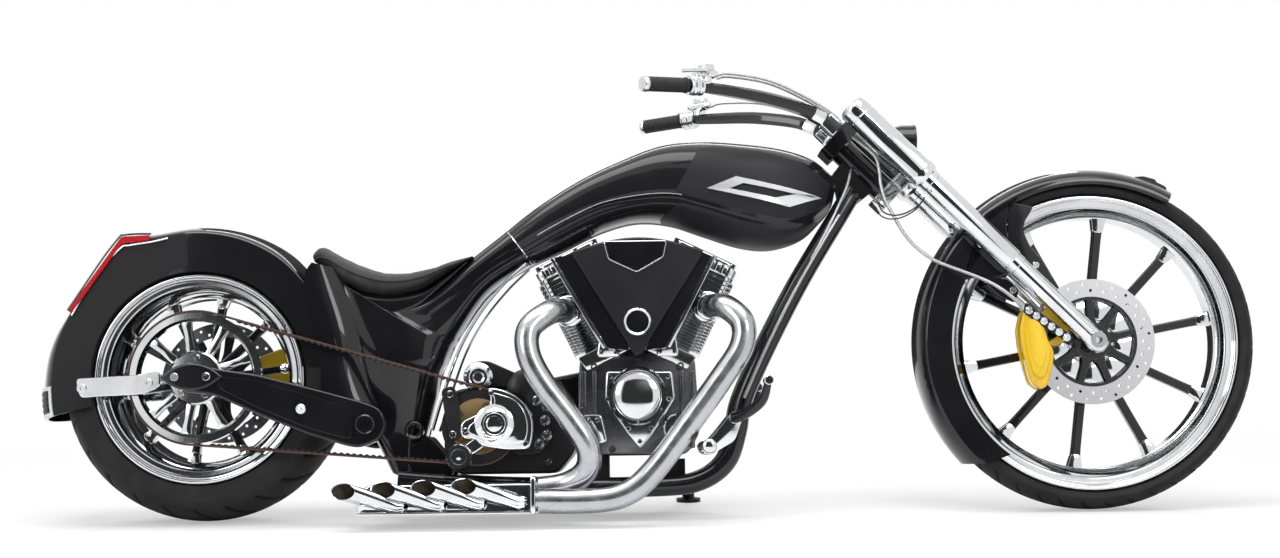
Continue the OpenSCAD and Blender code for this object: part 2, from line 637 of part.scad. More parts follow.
// Rear fender: rings about the axle. Columns: angle, height over the tyre at the middle and at the edge
fender_rows = [[6, 10, -4], [25, 10, -4], [42, 10, -4], [50, 18, -2], [58, 24, 0], [72, 27, 2], [90, 28, 4],
    [104, 28, 6], [112, 38, 14], [119, 54, 26], [127, 34, 12], [136, 21, 2], [146, 17, -2], [154, 20, -2],
    [161, 30, -2], [169, 39, -2], [178, 44, -2], [187, 49, 0], [194, 52, 2]];
fender_in = rear_lip_d / 2 + 4;
function fender_ring(row) = let(h = rear_fender_half, g = h - sheet, d = [cos(row[0]), sin(row[0])],
    mid = rear_tyre_d / 2 + row[1], edge = rear_tyre_d / 2 + row[2])
    [for (p = concat([[fender_in, h]],
        [for (t = [0:18:180]) [edge + (mid - edge) * sin(t), h * cos(t)]],
        [[fender_in, -h], [fender_in, -g]],
        [for (t = [180:-18:0]) [edge - 2 + (mid - sheet - edge + 2) * sin(t), g * cos(t)]],
        [[fender_in, g]]))
        [rear_axle[0] + p[0] * d[0], p[1], rear_axle[1] + p[0] * d[1]]];
module rear_fender() { color("#28282c") skin([for (r = smooth(fender_rows, 2)) fender_ring(r)], true); }
// Columns: angle about the rear axle, height over the tyre
lamp_rows = [[108.2, 22], [118.2, 47], [151.9, 11], [152.5, -2], [120, 24], [108.6, 6]];
module tail_lamps() {
    color("#b01018") both_sides() slab(rear_fender_half + face_gap, rear_fender_half + 7)
        polygon([for (p = lamp_rows) rear_axle + (rear_tyre_d / 2 + p[1]) * [cos(p[0]), sin(p[0])]]);
}
// Vent frames on the fender's crown, over its last rings
bezel_rings = 4;
bezel_t = 5;
function crown_point(row, t, out) = let(edge = rear_tyre_d / 2 + row[2],
    r = edge + (row[1] - row[2] + out) * sin(t), y = (rear_fender_half + out) * cos(t))
    [rear_axle[0] + r * cos(row[0]), y, rear_axle[1] + r * sin(row[0])];
module tail_bezels() {
    rows = smooth(fender_rows, 2);
    color("#c0c0c4") both_sides() skin([for (k = [len(rows) - bezel_rings:len(rows) - 1])
        concat([for (t = [9, 18, 36, 54]) crown_point(rows[k], t, face_gap)],
            [for (t = [54, 36, 18, 9]) crown_point(rows[k], t, face_gap + bezel_t)])], true);
}
strut_l = fender_in + 14.5; // from the axle to the strut's far end
module fender_struts() {
    color("#c0c0c4") both_sides() union() {
        slab(arm_out + face_gap, arm_out + 10) polygon([rear_axle + [-strut_l, 0],
            rear_axle + [-strut_l + 10, -44], rear_axle + [-110, -38], rear_axle + [-70, -22],
            rear_axle + [-70, 14], rear_axle + [-120, 6]]);
        disc_y(rear_axle + [-strut_l + 12, -22], 11, rear_fender_half + face_gap, arm_out + 2);
    }
}

// Swingarm and drive
module arm(y0, y1) {
    difference() {
        slab(y0, y1) polygon([rear_axle + [-27, -30], rear_axle + [-39, 0], rear_axle + [-27, 28],
            rear_axle + [0, 36], rear_axle + [46, 20], rear_axle + [149, 4],
            pivot + [-107, 80], pivot + [0, 50],
            pivot + [36, 34], pivot + [48, 0], pivot + [36, -34], pivot + [0, -50], pivot + [-27, -53],
            pivot + [-130, -22], rear_axle + [149, -87], rear_axle + [47, -40], rear_axle + [0, -36]]);
        disc_y(rear_axle, rear_axle_d / 2 + run_gap, y0 - 1, y1 + 1);
        disc_y(pivot, shaft_r + run_gap, y0 - 1, y1 + 1);
    }
}
module swingarm_right() { color("#161618") arm(-arm_out, -arm_in); }
module swingarm_left() { color("#161618") arm(arm_in, arm_out); }
module pivot_shaft() {
    color("#b8b8bc") union() {
        disc_y(pivot, shaft_r, -arm_out - 8, arm_out + 8);
        both_sides() disc_y(pivot, 22, arm_out + face_gap, arm_out + 12);
    }
}
almond_l = 70;
almond_h = 31;
almond_r = (almond_l * almond_l + almond_h * almond_h) / (2 * almond_h);
module axle_covers() {
    color("#1c1c1e") both_sides() slab(arm_out + face_gap, arm_out + 16) intersection() {
        translate(rear_axle + [0, almond_r - almond_h]) circle(r = almond_r);
        translate(rear_axle + [0, almond_h - almond_r]) circle(r = almond_r);
    }
}
module belt_shape(grow) {
    sides = 90;
    hull() {
        for (p = [[rear_axle, rear_pulley_d], [front_pulley, front_pulley_d]]) translate(p[0])
            circle(r = (p[1] / 2 + face_gap) / cos(180 / sides) + grow, $fn = sides);
    }
}
module drive_belt() {
    color("#202020") slab(-belt_out, -belt_in) difference() {
        belt_shape(belt_t);
        belt_shape(0);
    }
}
module front_pulley_disc() {
    color("#a08050") union() {
        disc_y(front_pulley, front_pulley_d / 2, -pulley_out, -pulley_in);
        disc_y(front_pulley, 22, -pulley_in - 1, -case_half - face_gap);
    }
}
module rear_caliper() {
    y_mid = rear_disc_y + disc_t / 2;
    color("#d8b020") difference() {
        slab(y_mid - 26, arm_in - face_gap) polygon([for (p = rear_caliper_line) rear_axle + p * disc_d / 2]);
        disc_y(rear_axle, disc_d / 2 + 6, y_mid - caliper_slot, y_mid + caliper_slot);
    }
}

// Engine
deck = 140;
module on_cylinder(side) { translate([crank[0], 0, crank[1]]) rotate([0, side * v_half, 0]) children(); }
module own_half(side) {
    difference() {
        children();
        translate([crank[0] - side * 399, 0, crank[1] + 200]) cube([800, 600, 900], center = true);
    }
}
fin_0 = deck + 14;
fin_1 = head_top - 92;
module cylinder_block(side) {
    own_half(side) on_cylinder(side) union() {
        translate([0, 0, deck + face_gap]) cylinder(r = 64, h = head_top - 84 - deck - face_gap);
        for (k = [0:fins - 1]) translate([0, 0, fin_0 + k * (fin_1 - fin_0) / (fins - 1)])
            translate([-fin_w / 2, -fin_w / 2 + 2, 0]) cube([fin_w, fin_w - 4, fin_t]);
    }
}
module cylinders() { color("#c0c0c4") for (side = [-1, 1]) cylinder_block(side); }
head_half = 90;
module head(side) {
    on_cylinder(side) union() {
        translate([-fin_w / 2 + 10, -86, head_top - 84 + face_gap]) cube([fin_w - 20, 172, 50]);
        for (k = [0:3]) translate([-fin_w / 2 - 2, -head_half, head_top - 80 + k * 11])
            cube([fin_w + 4, 2 * head_half, fin_t]);
        translate([-fin_w / 2 + 4, -92, head_top - 36]) cube([fin_w - 8, 184, 22]);
        translate([-fin_w / 2 + 12, -84, head_top - 15]) cube([fin_w - 24, 168, 15]);
    }
}
module heads() { color("#c8c8cc") for (side = [-1, 1]) head(side); }
// Pushrod tubes beside each cylinder, from the case's deck to the head's lowest fin
push_r = 8;
push_x = [-22, 4];
module pushrod_tubes() {
    color("#c8c8cc") for (side = [-1, 1], x = push_x) on_cylinder(side)
        translate([side * x, -fin_w / 2 + 2 - face_gap - push_r, deck + face_gap])
            cylinder(r = push_r, h = head_top - 80 - deck - 2 * face_gap);
}
module engine_case() {
    color("#b8b8bc") slab(-case_half, case_half) polygon([crank + [-143, -85], crank + [-113, -135],
        crank + [113, -135], crank + [143, -85],
        crank + [deck * sin(v_half) + 80 * cos(v_half), deck * cos(v_half) - 80 * sin(v_half)],
        crank + [0, deck / cos(v_half)],
        crank + [-deck * sin(v_half) - 80 * cos(v_half), deck * cos(v_half) - 80 * sin(v_half)]]);
}
cover_in = 118;
cover_out = 190;
module engine_cover() {
    color("#1c1c1e") union() {
        slab(-cover_out, -cover_in) polygon(concat([crank + [-6, 92], crank + [8, 92]],
            [for (t = [0:0.125:1]) crank + [158 - 308 * t, 330 + 32 * sin(180 * t)]]));
        for (p = [[-110, 290], [112, 290]]) disc_y(crank + p, 12, -cover_in - 1, -head_half - face_gap);
    }
}
module cam_cover() {
    color("#c8c8cc") union() {
        slab(-160, -case_half - face_gap) polygon([crank + [-72, 58], crank + [80, 56], crank + [86, -6],
            crank + [34, -86], crank + [4, -122], crank + [-26, -86], crank + [-76, -6]]);
        disc_y(crank, 48, -172, -159);
    }
}
module transmission() {
    color("#202022") slab(-case_half, case_half) polygon([[-470, 150], [-440, 112], [-210, 112],
        crank + [-146, -125], crank + [-146, 0], [-230, 290], [-262, 300], [-430, 300], [-470, 280]]);
}
dome = front_pulley + [43, 3];
dome_r = 86;
module transmission_cover() {
    color("#c8c8cc") union() {
        disc_y(dome, dome_r, -184, -pulley_out - 5);
        disc_y(dome, dome_r - 14, -198, -183);
        for (z = [-24, 24])
            disc_y(front_pulley + [front_pulley_d / 2 + 27, z], 12, -pulley_out - 6, -case_half - face_gap);
    }
}
module starter() {
    color("#c0c0c4") union() {
        disc_y(front_pulley + [-2, 114], 33, -136, -case_half - face_gap);
        translate([front_pulley[0] - 20, -120, 300 + face_gap]) cube([130, 60, 50]);
    }
}
primary_in = case_half + face_gap;
primary_out = 168;
module primary_cover() {
    color("#1c1c1e") union() {
        disc_y(crank, 96, primary_in, primary_out);
        disc_y([-372, 210], 92, primary_in, primary_out);
        slab(primary_in, primary_out)
            polygon([crank + [8, 94], [-380, 300], [-382, 119], crank + [-16, -94]]);
    }
}

// Exhaust
box_x0 = -655;
box_x1 = -262;
flange_t = 9;
pipe_end = box_x1 + flange_t + face_gap;
pipe_seat = 8; // straight end of a pipe, square to the flange
rear_pipe = [[-178, -93, 474], [-190, -140, 474], [-222, -188, 466], [-266, -214, 428], [-268, -222, 372],
    [-236, -222, 306], [-176, -222, 226], [-136, -218, 160], [-140, -204, 108], [-186, -188, 76],
    [pipe_end + pipe_seat, -182, 66]];
front_pipe = [[140, -93, 480], [152, -142, 480], [182, -192, 474], [218, -216, 436], [214, -222, 380],
    [168, -226, 310], [86, -232, 200], [10, -236, 102], [-46, -240, 56], [-116, -240, 40],
    [pipe_end + pipe_seat, -240, 40]];
module pipe(rows) {
    straight = [[pipe_end, rows[len(rows) - 1][1], rows[len(rows) - 1][2]]];
    color("#b8b8bc") bar_along(concat(smooth(rows, 3), straight), pipe_d / 2, 16, [1, 0, 1]);
}
module exhaust_rear() { pipe(rear_pipe); }
module exhaust_front() { pipe(front_pipe); }
tip_pitch = (box_x1 - box_x0 - 120) / (tips - 1);
module tip(x) {
    d = unit([-0.86, -0.36, 0.36]);
    difference() {
        translate([x, -226, 36]) multmatrix(turn_to(d)) difference() {
            cylinder(d = tip_d, h = 190);
            translate([0, 0, 30]) cylinder(d = tip_d - 2 * tip_wall, h = 200);
        }
        translate([x - 300, -muffler_out - 60, 0]) cube([800, 60, 300]);
        translate([x - 300, -muffler_out, -10]) cube([170, 200, 400]);
    }
}
module muffler() {
    color("#b8b8bc") union() {
        translate([box_x0, -240, 14]) cube([box_x1 - box_x0, 92, 66]);
        translate([box_x1 - 1, -274, 10]) cube([flange_t + 1, 130, 86]);
        for (k = [0:tips - 1]) tip(box_x0 + 60 + k * tip_pitch + 40);
    }
}

// Foot controls, cable and side stand
rail_out = rail_half + frame_tube_d / 2 + face_gap;
module foot_control() {
    union() {
        slab(rail_out, rail_out + 10)
            polygon([[118, 150], [140, 136], [200, 170], [222, 232], [196, 240], [160, 196]]);
        disc_y([138, 158], 14, rail_out + 7, 262);
        bar_along([[200, 146, 222], [232, 170, 236], [262, 196, 262], [274, 214, 302]], 9, 10, [1, 0, 0]);
        bar_along([[274, 190, 304], [274, 250, 304]], 11, 12, [1, 0, 0]);
    }
}
module foot_controls() { color("#c0c0c4") both_sides() foot_control(); }
cable_d = 8;
module frame_cable() {
    side = frame_tube_d / 2 + cable_d / 2 + 0.8;
    path = [for (k = [1:4]) [rail_line[k][0], -rail_line[k][1] - side, rail_line[k][2]]];
    color("#303034") bar_along(smooth(path, 4), cable_d / 2, 8, [0, 1, 0]);
}
// The stand turns on a pin square to its leg both down and stowed
stand_pivot = [60, 162, 98];
foot = [100, foot_y, foot_y * tan(lean) - lift / cos(lean)];
leg_down = unit(foot + [0, 0, 16] - stand_pivot);
leg_stowed = unit([-1, 0.03, -0.06]);
pin_axis = unit(cross(leg_down, leg_stowed));
pin_r = 6;
eye_h = 24;
module on_pin() {
    side = unit(cross([0, 1, 0], pin_axis));
    out = cross(pin_axis, side);
    multmatrix([for (k = [0:2]) [side[k], out[k], pin_axis[k], stand_pivot[k]]]) children();
}
module side_stand() {
    color("#202022") difference() {
        union() {
            bar_along([stand_pivot + leg_down * 8, foot + [0, 0, 16]], stand_d / 2, 14, [1, 0, 0]);
            translate(foot) rotate([lean, 0, 0]) cylinder(r = 30, h = 9);
            translate(foot) rotate([lean, 0, 0]) cylinder(r = 15, h = 26);
            on_pin() translate([0, 0, -eye_h / 2]) cylinder(r = 17, h = eye_h);
        }
        on_pin() translate([0, 0, -eye_h]) cylinder(r = pin_r + run_gap, h = 2 * eye_h);
    }
}
module stand_bracket() {
    color("#202022") union() {
        slab(rail_out, rail_out + 8) polygon([[30, 46], [90, 46], [90, 132], [30, 132]]);
        on_pin() union() {
            for (z = [eye_h / 2 + 1, -eye_h / 2 - 9]) translate([0, 0, z]) union() {
                cylinder(r = 17, h = 8);
                translate([-17, -27, 0]) cube([34, 27, 8]);
            }
            translate([0, 0, -eye_h / 2 - 9]) cylinder(r = pin_r, h = eye_h + 18);
        }
    }
}

parked() {
    neck();
    frame_rail_right();
    frame_rail_left();
    engine_cradle();
    rear_body();
    fuel_tank();
    tank_trim();
    seat();
    rear_fender();
    tail_lamps();
    tail_bezels();
    fender_struts();
    swingarm_right();
    swingarm_left();
    pivot_shaft();
    axle_covers();
    drive_belt();
    rear_axle_pin();
    rear_caliper();
    engine_case();
    cylinders();
    heads();
    pushrod_tubes();
    engine_cover();
    cam_cover();
    transmission();
    transmission_cover();
    starter();
    front_pulley_disc();
    primary_cover();
    exhaust_rear();
    exhaust_front();
    muffler();
    foot_controls();
    frame_cable();
    fork_yokes();
    fork_legs();
    handlebar();
    grips();
    hand_controls();
    headlamp();
    front_fender();
    front_caliper();
    brake_line();
    front_axle_pin();
    front_tyre();
    front_rim();
    front_disc();
    rear_tyre();
    rear_rim();
    rear_pulley();
    rear_disc();
    stand_bracket();
    side_stand();
}
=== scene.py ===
import json
import math

import bmesh
import bpy
import numpy as np
from mathutils import Matrix, Vector


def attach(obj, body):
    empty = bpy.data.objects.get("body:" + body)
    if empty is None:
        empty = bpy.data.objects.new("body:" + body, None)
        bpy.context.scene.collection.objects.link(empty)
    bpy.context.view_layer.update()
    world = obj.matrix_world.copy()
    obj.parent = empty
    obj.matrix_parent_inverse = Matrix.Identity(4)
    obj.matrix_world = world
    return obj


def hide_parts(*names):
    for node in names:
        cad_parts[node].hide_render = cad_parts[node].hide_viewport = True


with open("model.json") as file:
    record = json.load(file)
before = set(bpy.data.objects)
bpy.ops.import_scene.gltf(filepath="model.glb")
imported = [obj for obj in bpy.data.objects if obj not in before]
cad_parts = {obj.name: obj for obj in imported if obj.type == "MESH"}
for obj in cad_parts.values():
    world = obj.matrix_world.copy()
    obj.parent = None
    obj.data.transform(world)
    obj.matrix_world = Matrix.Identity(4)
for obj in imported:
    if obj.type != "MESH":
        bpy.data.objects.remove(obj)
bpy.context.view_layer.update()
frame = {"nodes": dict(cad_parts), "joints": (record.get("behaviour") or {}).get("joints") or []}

# The bike as it parks.
# Everything below is drawn upright, in millimetres, with X forward, Y to the bike's left and Z up.
# The matrix `parked` tips it onto its side stand, in metres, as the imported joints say.
joints = {j["name"]: j for j in frame["joints"]}
axle_line = Vector(joints["rear_wheel_spin"]["axis"])
lean = math.atan2(-axle_line.z, axle_line.y)
rear_axle = (-1033, 330)
tipped = Matrix.Rotation(-lean, 4, "X")
rear_axle_at = Vector(joints["rear_wheel_spin"]["pos_m"])
rear_axle_drawn = Vector((rear_axle[0] / 1000, 0, rear_axle[1] / 1000))
parked = Matrix.Translation(rear_axle_at - tipped @ rear_axle_drawn) @ tipped
front_axle_at = parked.inverted() @ Vector(joints["front_wheel_spin"]["pos_m"])
front_axle = (front_axle_at.x * 1000, front_axle_at.z * 1000)

# Camera, a little below the tank and square to the bike's right side, a touch rolled.
# Its lens is given as the photograph's focal length in pixels of a 1280 pixel wide frame.
FOCAL_PIXELS, FRAME_PIXELS, SENSOR = 2128, 1280, 36
camera_lens = bpy.data.cameras.new("camera")
camera_lens.sensor_width = SENSOR
camera_lens.lens = SENSOR * FOCAL_PIXELS / FRAME_PIXELS
camera = bpy.data.objects.new("camera", camera_lens)
bpy.context.scene.collection.objects.link(camera)
CAMERA_AT, CAMERA_ROLL = (-0.013, -5.0, 0.555), math.radians(-0.78)
camera_stand = Matrix.Translation(parked.translation + Vector(CAMERA_AT))
level_view = Matrix.Rotation(math.radians(90), 4, "X")
camera.matrix_world = camera_stand @ level_view @ Matrix.Rotation(CAMERA_ROLL, 4, "Z")
bpy.context.scene.camera = camera
bpy.context.scene.view_settings.view_transform = "Standard"


# Finishes, and the studio's pale floor as the first of them.
# A Socket is a value in a material's nodes, and arithmetic on it adds Math nodes. A Finish is one material.
class Socket:
    def __init__(self, finish, link):
        self.finish = finish
        self.link = link

    def math(self, operation, *values):
        return self.finish.node("Math", {"operation": operation}, dict(enumerate(values)))

    def __add__(self, other):
        return self.math("ADD", self, other)

    __radd__ = __add__

    def __rsub__(self, other):
        return self.math("SUBTRACT", other, self)

    def __mul__(self, other):
        return self.math("MULTIPLY", self, other)

    __rmul__ = __mul__

    def step(self, low, high):
        """0 below low, 1 above high and a smooth ramp between; low above high turns it round."""
        return self.finish.node("MapRange", {"interpolation_type": "SMOOTHSTEP"},
                                {"Value": self, "From Min": low, "From Max": high})

    def sine(self):
        return self.math("SINE", self)


class Finish:
    def __init__(self, name, **constants):
        self.material = bpy.data.materials.new(name)
        self.material.use_nodes = True
        self.tree = self.material.node_tree
        self.shader = self.tree.nodes["Principled BSDF"]
        self.feed(self.shader, {key.replace("_", " "): value for key, value in constants.items()})

    def feed(self, node, sockets):
        for key, value in sockets.items():
            if isinstance(value, Socket):
                self.tree.links.new(value.link, node.inputs[key])
            else:
                if isinstance(value, (tuple, list)) and len(value) == 3 and node.inputs[key].type == "RGBA":
                    value = (*value, 1)
                node.inputs[key].default_value = value

    def node(self, kind, settings=None, sockets=None, output=0):
        made = self.tree.nodes.new("ShaderNode" + kind)
        for key, value in (settings or {}).items():
            setattr(made, key, value)
        self.feed(made, sockets or {})
        return Socket(self, made.outputs[output])

    def place(self):
        return self.node("TexCoord", output="Object")

    def axis(self, index):
        return self.node("SeparateXYZ", None, {0: self.place()}, index)

    def mark(self, name):
        return self.node("Attribute", {"attribute_name": name}, output="Fac")

    def noise(self, scale, detail=2, stretch=None):
        place = self.place()
        if stretch:
            place = self.node("VectorMath", {"operation": "MULTIPLY"}, {0: place, 1: stretch})
        return self.node("TexNoise", None, {"Vector": place, "Scale": scale, "Detail": detail}, "Fac")

    def mix(self, factor, first, second):
        return self.node("Mix", {"data_type": "RGBA"}, {0: factor, 6: first, 7: second}, 2)

    def bump(self, height, distance):
        return self.node("Bump", None, {"Height": height, "Distance": distance})

    def wear(self, **sockets):
        self.feed(self.shader, {key.replace("_", " "): value for key, value in sockets.items()})
        return self


# The floor is a white sheet that fades into the white behind it, so that only the bike's shadow shows on it.
# The lamps are soft boxes overhead, at the right front, at the right rear and on the far side.
FLOOR_NEAR, FLOOR_FAR, FLOOR_GLOW, SKY_DIM = 1.7, 3.4, 0.42, 0.42
paper = Finish("floor_paper", Base_Color=(0.86, 0.86, 0.87), Roughness=0.75)
from_middle = paper.node("VectorMath", {"operation": "LENGTH"}, {0: paper.place()}, "Value")
paper_edge = from_middle.step(FLOOR_NEAR, FLOOR_FAR)
seen = paper.node("LightPath", output="Is Camera Ray")
glow = paper.node("Emission", None, {"Color": (1, 1, 1), "Strength": 1.0})
sheet_face = Socket(paper, paper.shader.outputs[0])
lit = paper.node("MixShader", None, {0: seen * FLOOR_GLOW, 1: sheet_face, 2: glow})
clear = paper.node("BsdfTransparent")
faded = paper.node("MixShader", None, {0: paper_edge, 1: lit, 2: clear})
paper.tree.links.new(faded.link, paper.tree.nodes["Material Output"].inputs[0])
floor_mesh = bpy.data.meshes.new("floor")
reach = FLOOR_FAR + 0.2
floor_mesh.from_pydata([(-reach, -reach, 0), (reach, -reach, 0), (reach, reach, 0), (-reach, reach, 0)], [],
                       [(0, 1, 2, 3)])
floor_mesh.materials.append(paper.material)
floor = bpy.data.objects.new("floor", floor_mesh)
bpy.context.scene.collection.objects.link(floor)

world = bpy.data.worlds.new("studio")
world.use_nodes = True
bpy.context.scene.world = world
air = world.node_tree
white = air.nodes["Background"]
white.inputs["Color"].default_value = (1, 1, 1, 1)
path = air.nodes.new("ShaderNodeLightPath")
shown = air.nodes.new("ShaderNodeMath")
shown.operation = "MAXIMUM"
mirrored = air.nodes.new("ShaderNodeMath")
mirrored.operation = "MAXIMUM"
air.links.new(path.outputs["Is Camera Ray"], shown.inputs[0])
air.links.new(path.outputs["Is Transmission Ray"], shown.inputs[1])
air.links.new(shown.outputs[0], mirrored.inputs[0])
air.links.new(path.outputs["Is Glossy Ray"], mirrored.inputs[1])
level = air.nodes.new("ShaderNodeMapRange")
level.inputs["To Min"].default_value = SKY_DIM
level.inputs["To Max"].default_value = 1.0
air.links.new(mirrored.outputs[0], level.inputs["Value"])
air.links.new(level.outputs[0], white.inputs["Strength"])


def soft_box(name, place, aim, size, power):
    lamp = bpy.data.lights.new(name, "AREA")
    lamp.shape = "RECTANGLE"
    lamp.size, lamp.size_y = size
    lamp.energy = power
    box = bpy.data.objects.new(name, lamp)
    bpy.context.scene.collection.objects.link(box)
    box.location = place
    box.rotation_euler = (Vector(aim) - Vector(place)).to_track_quat("-Z", "Y").to_euler()


soft_box("overhead_box", (-0.2, -0.7, 3.0), (0, 0, 0.4), (3.8, 1.6), 90)
soft_box("front_box", (1.6, -3.6, 2.4), (0.2, 0, 0.4), (2.6, 1.2), 60)
soft_box("rear_box", (-2.6, -2.6, 1.8), (-0.6, 0, 0.4), (1.0, 1.8), 35)
soft_box("far_box", (0.0, 3.4, 2.4), (0, 0, 0.4), (3.4, 1.4), 70)

# Black cloth walls stand at both sides, as in a dark hall with a white backdrop, and out of every view.
# They give chrome and gloss paint the dark fields that show their form.
card_finish = Finish("card_cloth", Base_Color=(0.01, 0.01, 0.01), Roughness=0.9)


def dark_card(name, corners):
    sheet = bpy.data.meshes.new(name)
    sheet.from_pydata(corners, [], [(0, 1, 2, 3)])
    sheet.materials.append(card_finish.material)
    card = bpy.data.objects.new(name, sheet)
    bpy.context.scene.collection.objects.link(card)
    card.visible_camera = False
    card.visible_diffuse = False
    card.visible_shadow = False


WALL_FROM, WALL_TO, WALL_TOP = -1.7, 1.4, 2.6
for side, name in ((-3.0, "right"), (3.0, "left")):
    dark_card("wall_" + name, [(WALL_FROM, side, 0.02), (WALL_TO, side, 0.02), (WALL_TO, side, WALL_TOP),
                               (WALL_FROM, side, WALL_TOP)])


# Frame: two downtubes of 46 mm steel tube that bend under the engine into the lower rails, and the
# steering neck with its gusset. They are welded and painted gloss black.
def gloss_paint(name, colour, roughness=0.16):
    """Paint under clear lacquer, with a faint ripple in the lacquer and a little dust in the roughness."""
    paint = Finish(name, Coat_Weight=0.75, Coat_Roughness=0.04, IOR=1.5, Specular_IOR_Level=0.1)
    dust = paint.noise(9, 4)
    return paint.wear(Base_Color=paint.mix(dust.step(0.35, 0.8), colour, [c * 1.35 + 0.002 for c in colour]),
                      Roughness=dust * 0.12 + roughness,
                      Normal=paint.bump(paint.noise(420, 1), 0.00004))


def smooth(rows, per):
    """Rows of numbers joined by a smooth curve, with per steps to each gap."""
    rows = np.array(rows, float)
    ends = np.vstack([rows[:1], rows, rows[-1:]])
    t = np.arange(per)[:, None] / per
    curve = [0.5 * (2 * b + (c - a) * t + (2 * a - 5 * b + 4 * c - d) * t ** 2
                    + (3 * b - a - 3 * c + d) * t ** 3)
             for a, b, c, d in zip(ends, ends[1:], ends[2:], ends[3:])]
    return np.vstack(curve + [rows[-1:]])


def unit(vector):
    return np.array(vector, float) / np.linalg.norm(vector)


def skin(rings, looped=False, capped=True):
    """A surface over rings of equal length; looped joins the last ring to the first."""
    rings = np.array(rings, float)
    count, size = rings.shape[:2]
    faces = []
    for i in range(count if looped else count - 1):
        j = (i + 1) % count
        faces += [(i * size + k, i * size + (k + 1) % size, j * size + (k + 1) % size, j * size + k)
                  for k in range(size)]
    if capped and not looped:
        faces += [tuple(range(size)), tuple((count - 1) * size + k for k in range(size))]
    return rings.reshape(-1, 3), faces


def tube(path, radius, sides=24, squash=1.0):
    """A round bar along a path, its radius one number or one for each point."""
    path = np.array(path, float)
    radii = np.broadcast_to(radius, len(path))
    ahead = np.gradient(path, axis=0)
    across = np.cross(ahead[0], (0.3, 0.2, 1.0) if abs(unit(ahead[0])[2]) < 0.9 else (1.0, 0.2, 0.1))
    turns = np.radians(360 * (np.arange(sides) + 0.5) / sides)
    rings = []
    for point, heading, r in zip(path, ahead, radii):
        heading = unit(heading)
        across = unit(across - heading * np.dot(across, heading))
        over = np.cross(heading, across)
        rings.append([point + r * (math.cos(a) * across + squash * math.sin(a) * over) for a in turns])
    verts, faces = skin(rings)
    along = np.concatenate([[0], np.cumsum(np.linalg.norm(np.diff(path, axis=0), axis=1))])
    return verts, faces, {"along": np.repeat(along / 1000, sides)}


def slab(outline, y0, y1, edge=2.0, steps=2):
    """An outline in X and Z raised from y0 to y1, with rounded edges."""
    form = bmesh.new()
    base = form.faces.new([form.verts.new((x, y0, z)) for x, z in outline])
    grown = bmesh.ops.extrude_face_region(form, geom=[base])["geom"]
    raised = [v for v in grown if isinstance(v, bmesh.types.BMVert)]
    bmesh.ops.translate(form, vec=(0, y1 - y0, 0), verts=raised)
    rim = [e for e in form.edges if abs(e.verts[0].co.y - e.verts[1].co.y) < 0.001]
    bmesh.ops.bevel(form, geom=rim, offset=edge, segments=steps, profile=0.5, affect="EDGES",
                    clamp_overlap=True)
    form.verts.index_update()
    part = np.array([v.co for v in form.verts]), [tuple(v.index for v in face.verts) for face in form.faces]
    form.free()
    return part


def mirrored_part(part):
    return (np.array(part[0]) * (1, -1, 1), *part[1:])


def both(*parts):
    """Parts and their mirror images on the bike's other side."""
    return [*parts, *map(mirrored_part, parts)]


def piece(name, body, finish, *parts, slot, replaces=(), sharp=35):
    """Joins parts, each of vertices, faces and marks on vertices, into one mesh that rides on a body.

    Painted faces shade flat to their edges, and polished metal keeps the roll that buffing leaves."""
    points, faces, marks = [], [], {}
    for part in parts:
        start = sum(map(len, points))
        points.append(np.array(part[0], float))
        faces += [tuple(start + i for i in face) for face in part[1]]
        for key, values in (part[2] if len(part) > 2 else {}).items():
            marks.setdefault(key, []).append((start, values))
    mesh = bpy.data.meshes.new(name)
    mesh.from_pydata((np.vstack(points) / 1000).tolist(), [], faces)
    for key, runs in marks.items():
        column = np.zeros(len(mesh.vertices), np.float32)
        for start, values in runs:
            column[start:start + len(values)] = values
        mesh.attributes.new(key, "FLOAT", "POINT").data.foreach_set("value", column)
    form = bmesh.new()
    form.from_mesh(mesh)
    bmesh.ops.recalc_face_normals(form, faces=form.faces)
    form.to_mesh(mesh)
    form.free()
    mesh.shade_smooth()
    mesh.set_sharp_from_angle(angle=math.radians(sharp))
    mesh.materials.append(finish.material)
    made = bpy.data.objects.new(name, mesh)
    bpy.context.scene.collection.objects.link(made)
    made.matrix_world = parked
    if finish.shader.inputs["Metallic"].default_value == 0:
        made.modifiers.new("flat_faces", "WEIGHTED_NORMAL").keep_sharp = True
    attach(made, body)
    if replaces:
        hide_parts(*replaces)
    return made


def dressed(node, finish):
    """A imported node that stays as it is, with its own finish."""
    solid = frame["nodes"][node]
    solid.data.materials.clear()
    solid.data.materials.append(finish.material)


BLACK = (0.006, 0.006, 0.007)
gloss_black = gloss_paint("gloss_black_paint", BLACK)
RAIL_HALF, FRAME_TUBE = 108, 46
rail_line = [(496, 45, 752), (484, 45.3, 740), (455, 54, 694), (363, 78, 546), (282, 98, 396),
             (222, RAIL_HALF, 268), (206, RAIL_HALF, 190), (180, RAIL_HALF, 122), (120, RAIL_HALF, 80),
             (30, RAIL_HALF, 68), (-200, RAIL_HALF, 68), (-390, RAIL_HALF, 74), (-575, RAIL_HALF, 90)]
left_rail = tube(smooth(rail_line, 6), FRAME_TUBE / 2)
piece("frame_tube_left", "chassis", gloss_black, left_rail, replaces=["frame_rail_left"], slot="black_paint")
piece("frame_tube_right", "chassis", gloss_black, mirrored_part(left_rail), replaces=["frame_rail_right"],
      slot="black_paint")
dressed("neck", gloss_black)


